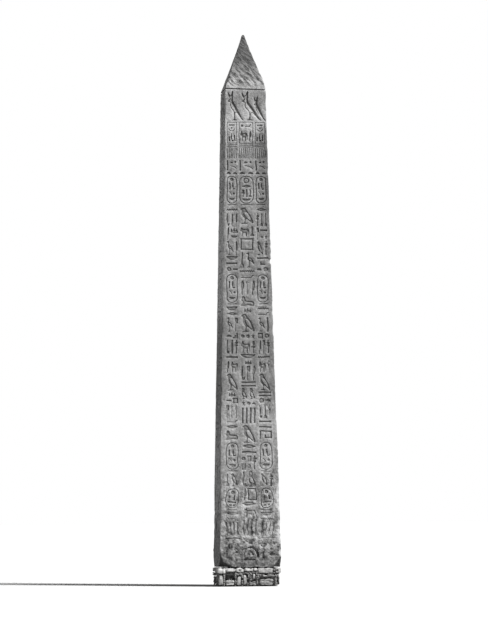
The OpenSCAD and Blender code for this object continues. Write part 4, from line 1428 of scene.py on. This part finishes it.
def floor_material(level, seen):
    """A plain floor that shows nearly white to the camera and keeps the shadow. It throws less light back."""
    material, tree = new_material("Studio floor")
    to_camera = tree.node("ShaderNodeLightPath")
    thrown, pale = (tree.node("ShaderNodeBsdfDiffuse", None, {"Color": grey(tone), "Roughness": 0.0})
                    for tone in (level, seen))
    both = tree.node("ShaderNodeMixShader", None, {0: to_camera, 1: thrown, 2: pale})
    tree.node("ShaderNodeOutputMaterial", None, {"Surface": both})
    return material


# Settings

def setting(label, description, default, low, high, **kind):
    """A number in the panel with its limits."""
    return FloatProperty(name=label, description=description, default=default, min=low, max=high, **kind)


def grey_setting(label, description, default):
    return setting(label, description, default, 0.02, 0.95, subtype="FACTOR")


class ShapeSettings(bpy.types.PropertyGroup):
    carving_depth: setting("Carving depth", "Depth of the sunk carving", 0.060, 0.01, 0.08, unit="LENGTH")
    grid: setting("Grid", "Spacing of the points between the motifs", 0.092, 0.05, 0.2, unit="LENGTH")
    undulation: setting("Undulation", "Height of the broad waves in the dressed faces", 0.012, 0.0, 0.03,
                        unit="LENGTH")
    pitting: setting("Pitting", "Depth of the weathered pits", 0.016, 0.0, 0.04, unit="LENGTH")


class FinishSettings(bpy.types.PropertyGroup):
    granite: grey_setting("Granite", "Mean grey of the granite", 0.235)
    contrast: setting("Mottling", "Strength of the granite's mottling", 1.6, 0.0, 2.0)
    bearing: grey_setting("Bearing stones", "Mean grey of the bearing stones", 0.60)
    packing: grey_setting("Packing stones", "Mean grey of the packing stones", 0.39)
    rubble: grey_setting("Rubble", "Mean grey of the packed rubble", 0.34)
    floor: grey_setting("Floor", "Grey of the studio floor for the light it throws back", 0.42)
    floor_seen: grey_setting("Floor seen", "Grey of the studio floor as the camera sees it", 0.74)


class StudioSettings(bpy.types.PropertyGroup):
    sun: setting("Sun", "Light of the main lamp on a surface that faces it", 1.74, 0.0, 6.0)
    sun_height: setting("Sun height", "Height of the main lamp above the horizon", math.radians(50),
                        0.0, math.pi / 2, subtype="ANGLE")
    sun_side: setting("Sun side", "Turn of the main lamp to the right of the front", math.radians(52),
                      -math.pi, math.pi, subtype="ANGLE")
    sky: setting("Sky", "Light of the surroundings", 0.11, 0.0, 2.0)


# Stage

# The camera that fits the photograph: millimetres of lens, metres away and above the foot, then its turn
# round the obelisk, how far it looks aside, its tilt and its roll
LENS = 167.95
CAMERA_AWAY, CAMERA_ABOVE = 118.38, 2.018
TURN, ASIDE, TILT, ROLL = (math.radians(angle) for angle in (6.4506, -0.0178, 3.7529, -0.4007))
FLOOR_RADIUS = 900.0


def add_camera(scene):
    """A long lens far off, as the photograph was taken."""
    camera = bpy.data.objects.new("Camera", bpy.data.cameras.new("Camera"))
    scene.collection.objects.link(camera)
    scene.camera = camera
    camera.data.sensor_width = 36.0
    camera.data.lens = LENS
    camera.data.clip_start = 1.0
    camera.data.clip_end = 3000.0
    aim = TURN + ASIDE
    ahead = Vector((math.sin(aim) * math.cos(TILT), math.cos(aim) * math.cos(TILT), math.sin(TILT)))
    right = Vector((math.cos(aim), -math.sin(aim), 0.0))
    up = right.cross(ahead)
    right, up = (right * math.cos(ROLL) + up * math.sin(ROLL), up * math.cos(ROLL) - right * math.sin(ROLL))
    axes = Matrix((right, up, -ahead)).transposed().to_4x4()
    axes.translation = (-CAMERA_AWAY * math.sin(TURN), -CAMERA_AWAY * math.cos(TURN), CAMERA_ABOVE + FOOT_Z)
    camera.matrix_world = axes


def add_sun(scene, studio):
    lamp = bpy.data.objects.new("Sun", bpy.data.lights.new("Sun", "SUN"))
    scene.collection.objects.link(lamp)
    lamp.data.energy = studio.sun * math.pi
    lamp.data.angle = math.radians(10.0)
    side, height = studio.sun_side, studio.sun_height
    towards = Vector((math.sin(side) * math.cos(height), -math.cos(side) * math.cos(height),
                      math.sin(height)))
    lamp.rotation_mode = "QUATERNION"
    lamp.rotation_quaternion = towards.to_track_quat("Z", "Y")


def add_surroundings(scene, sky):
    """An even light all round that the camera sees as white."""
    world = bpy.data.worlds.new("Studio")
    scene.world = world
    world.use_nodes = True
    world.node_tree.nodes.clear()
    tree = Tree(world.node_tree)
    rays = tree.node("ShaderNodeLightPath")
    seen = rays.most(rays.output("Is Glossy Ray")).most(rays.output("Is Transmission Ray"))
    light, white = (tree.node("ShaderNodeBackground", None, {"Color": grey(1.0), "Strength": strength})
                    for strength in (sky, 1.0))
    both = tree.node("ShaderNodeMixShader", None, {0: seen, 1: light, 2: white})
    tree.node("ShaderNodeOutputWorld", None, {"Surface": both})


# Operators

class OBELISK_OT_stage(bpy.types.Operator):
    """Adds the camera, the lamp, the surroundings and the floor"""
    bl_idname = "obelisk.stage"
    bl_label = "Stage"

    def execute(self, context):
        scene = context.scene
        finish = scene.obelisk_finish
        add_camera(scene)
        add_sun(scene, scene.obelisk_studio)
        add_surroundings(scene, scene.obelisk_studio.sky)
        bpy.ops.mesh.primitive_circle_add(vertices=96, radius=FLOOR_RADIUS, fill_type="NGON",
                                          location=(0, 0, 0))
        floor = context.object
        floor.name = "studio_floor"
        floor.data.materials.append(floor_material(finish.floor, finish.floor_seen))
        floor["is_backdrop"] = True
        scene.view_settings.view_transform = "Standard"
        return {"FINISHED"}


def new_piece(context, name, mesh):
    piece = bpy.data.objects.new(name, mesh)
    context.scene.collection.objects.link(piece)
    return piece


class OBELISK_OT_monolith(bpy.types.Operator):
    """Carves and weathers the monolith"""
    bl_idname = "obelisk.monolith"
    bl_label = "Monolith"

    def execute(self, context):
        shape, finish = context.scene.obelisk_shape, context.scene.obelisk_finish
        piece = new_piece(context, "obelisk_monolith_worn", monolith_mesh(shape.carving_depth, shape.grid))
        run_group(piece, weathering_group(), {
            "Undulation": shape.undulation, "Pitting": shape.pitting, "Worn height": 4.0, "Seed": 3.7,
            "Stone": granite_material(finish.granite, finish.contrast)})
        piece.data.shade_smooth()
        piece.data.set_sharp_from_angle(angle=math.radians(34))
        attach(piece, "root")
        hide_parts("obelisk_monolith")
        return {"FINISHED"}


# Holes in two of the stones, darkened with painted shade: where they are and their radius
HOLES = {
    "front_bearing_stone_3": ((-0.416, -1.26, 0.635), 0.055),
    "right_bearing_stone_1": ((1.06, -1.27, 0.62), 0.06),
}
# How much paler than the rest some of the front stones are
OWN_TONES = {
    "front_bearing_stone_1": 1.5, "front_bearing_stone_2": 2.3, "front_bearing_stone_3": 0.9,
    "front_bearing_stone_4": 0.4, "front_bearing_stone_5": -0.3, "front_bearing_stone_6": -1.2,
    "front_packing_stone_3": 0.9, "front_packing_stone_4": 0.9, "front_packing_stone_5": -0.6,
    "front_packing_stone_6": -0.4, "front_packing_stone_7": 0.6, "front_packing_stone_8": -0.5,
    "front_packing_stone_9": 0.9,
}
# Spacing and least number of the points along a stone
STONE_SPACING, LEAST_POINTS = 0.022, 8


def add_stones(context, word, material, look, grow):
    """One rough stone in place of each CAD node whose name has the word."""
    group = stone_group()
    cad_low, cad_high = SIZES["cad"]
    for number, name in enumerate(sorted(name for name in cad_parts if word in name)):
        low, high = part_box(name)
        # Neighbours in a row nearly meet
        along = 0 if "front" in name or "back" in name else 1
        extra = grow / 2 if "front" in name else 0.02
        low[along] = max(low[along] - extra, cad_low[along])
        high[along] = min(high[along] + extra, cad_high[along])
        size = high - low
        seed = 3.0 + number * 1.7
        hole, radius = HOLES.get(name, ((0.0, 0.0, 0.0), 0.0))
        layered = "packing" in name and size[along] > 1.5 * size.z
        values = {"Points " + axis: max(LEAST_POINTS, round(length / STONE_SPACING))
                  for axis, length in zip("XYZ", size)}
        values |= {"Size": size, "Centre": (low + high) / 2, "Seed": seed, "Hole": hole,
                   "Hole radius": radius, "Own tone": OWN_TONES.get(name, math.sin(seed * 4.7)),
                   "Layers": 0.035 if layered else 0.0, "Stone": material}
        piece = new_piece(context, name + "_rough", bpy.data.meshes.new(name + "_rough"))
        run_group(piece, group, values | look)
        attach(piece, "root")
        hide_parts(name)


class OBELISK_OT_bearing_stones(bpy.types.Operator):
    """Makes the row of stones right under the monolith"""
    bl_idname = "obelisk.bearing_stones"
    bl_label = "Bearing stones"

    def execute(self, context):
        material = footing_material("Bearing stone", context.scene.obelisk_finish.bearing, 0.0, 0.5)
        look = {"Squareness": 5.2, "Askew": 0.05, "Roughness": 0.03, "Sag": 0.036}
        add_stones(context, "_bearing_stone_", material, look, 0.09)
        return {"FINISHED"}


class OBELISK_OT_packing_stones(bpy.types.Operator):
    """Makes the smaller stones packed below the bearing stones"""
    bl_idname = "obelisk.packing_stones"
    bl_label = "Packing stones"

    def execute(self, context):
        material = footing_material("Packing stone", context.scene.obelisk_finish.packing, 4.0, 0.6)
        look = {"Squareness": 3.8, "Askew": 0.12, "Roughness": 0.032, "Sag": 0.03}
        add_stones(context, "_packing_stone_", material, look, 0.045)
        return {"FINISHED"}


class OBELISK_OT_footing_core(bpy.types.Operator):
    """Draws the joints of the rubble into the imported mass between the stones"""
    bl_idname = "obelisk.footing_core"
    bl_label = "Packed rubble"

    def execute(self, context):
        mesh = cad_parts["footing_core"].data.copy()
        piece = new_piece(context, "footing_core_rubble", mesh)
        work = bmesh.new()
        work.from_mesh(mesh)
        bmesh.ops.remove_doubles(work, verts=work.verts, dist=0.0001)
        work.to_mesh(mesh)
        work.free()
        mesh.materials.clear()
        remesh = piece.modifiers.new("Remesh", "REMESH")
        remesh.mode = "VOXEL"
        remesh.voxel_size = 0.03
        material = footing_material("Packed rubble", context.scene.obelisk_finish.rubble, 9.0, 0.75)
        run_group(piece, rubble_group(), {"Stones": 5.5, "Joint depth": 0.04, "Stone": material})
        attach(piece, "root")
        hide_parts("footing_core")
        return {"FINISHED"}


# Small stones to a side, and how often a spot for one is tried
CHIPS_TO_A_SIDE, TRIES = 300, 12000
# Where they may lie: half the width of a side, how far in from the monolith's foot, and low and high
HALF_ROW, ROW_DEPTH, ROW_LOW, ROW_HIGH = 1.19, 0.13, 0.025, 0.70


def spots_between(boxes):
    """Spots by chance near the faces of the footing, clear of the boxes and of the pocket in the front."""
    chance = np.random.default_rng(11)
    spots = []
    for side in range(4):
        turn = Matrix.Rotation(math.radians(90 * side), 3, "Z")
        found = []
        for _ in range(TRIES):
            spot = turn @ Vector((chance.uniform(-HALF_ROW, HALF_ROW),
                                  -FOOT_W / 2 + chance.uniform(0.0, ROW_DEPTH),
                                  chance.uniform(ROW_LOW, ROW_HIGH)))
            in_stone = any(all(low[i] - 0.004 < spot[i] < high[i] + 0.004 for i in range(3))
                           for low, high in boxes)
            in_pocket = side == 0 and -1.0 < spot.x < -0.58 and spot.z > 0.29
            if not in_stone and not in_pocket:
                found.append(tuple(spot))
            if len(found) == CHIPS_TO_A_SIDE:
                break
        spots += found
    return spots


class OBELISK_OT_joint_rubble(bpy.types.Operator):
    """Fills the joints between the stones with small rubble"""
    bl_idname = "obelisk.joint_rubble"
    bl_label = "Joint rubble"

    def execute(self, context):
        boxes = [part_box(name) for name in sorted(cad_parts) if "_stone_" in name]
        mesh = bpy.data.meshes.new("joint_rubble")
        mesh.from_pydata(spots_between(boxes), [], [])
        piece = new_piece(context, "joint_rubble", mesh)
        # Darker than the packed rubble: painted shade in the joints between the stones
        material = footing_material("Joint rubble", context.scene.obelisk_finish.rubble * 0.8, 14.0, 0.5)
        run_group(piece, scatter_group(), {"Width": 0.07, "Seed": 5, "Stone": material})
        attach(piece, "root")
        return {"FINISHED"}


class OBELISK_PT_panel(bpy.types.Panel):
    """Lists the obelisk's settings and steps"""
    bl_idname = "OBELISK_PT_panel"
    bl_label = "Obelisk"
    bl_space_type = "VIEW_3D"
    bl_region_type = "UI"
    bl_category = "Obelisk"

    def draw(self, context):
        for name in SETTINGS:
            settings = getattr(context.scene, name)
            box = self.layout.box()
            for label in settings.__annotations__:
                box.prop(settings, label)
        for step in STEPS:
            self.layout.operator(step.bl_idname)


SETTINGS = {"obelisk_shape": ShapeSettings, "obelisk_finish": FinishSettings,
            "obelisk_studio": StudioSettings}
STEPS = (OBELISK_OT_stage, OBELISK_OT_monolith, OBELISK_OT_footing_core, OBELISK_OT_bearing_stones,
         OBELISK_OT_packing_stones, OBELISK_OT_joint_rubble)
CLASSES = (*SETTINGS.values(), *STEPS, OBELISK_PT_panel)


def register():
    for kind in CLASSES:
        bpy.utils.register_class(kind)
    for name, settings in SETTINGS.items():
        setattr(bpy.types.Scene, name, PointerProperty(type=settings))


def unregister():
    for name in SETTINGS:
        delattr(bpy.types.Scene, name)
    for kind in reversed(CLASSES):
        bpy.utils.unregister_class(kind)


def main():
    register()
    for step in ("stage", "monolith", "footing_core", "bearing_stones", "packing_stones", "joint_rubble"):
        getattr(bpy.ops.obelisk, step)()
    SIZES["visual"] = [list(c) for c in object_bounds()]


if __name__ == "__main__":
    main()
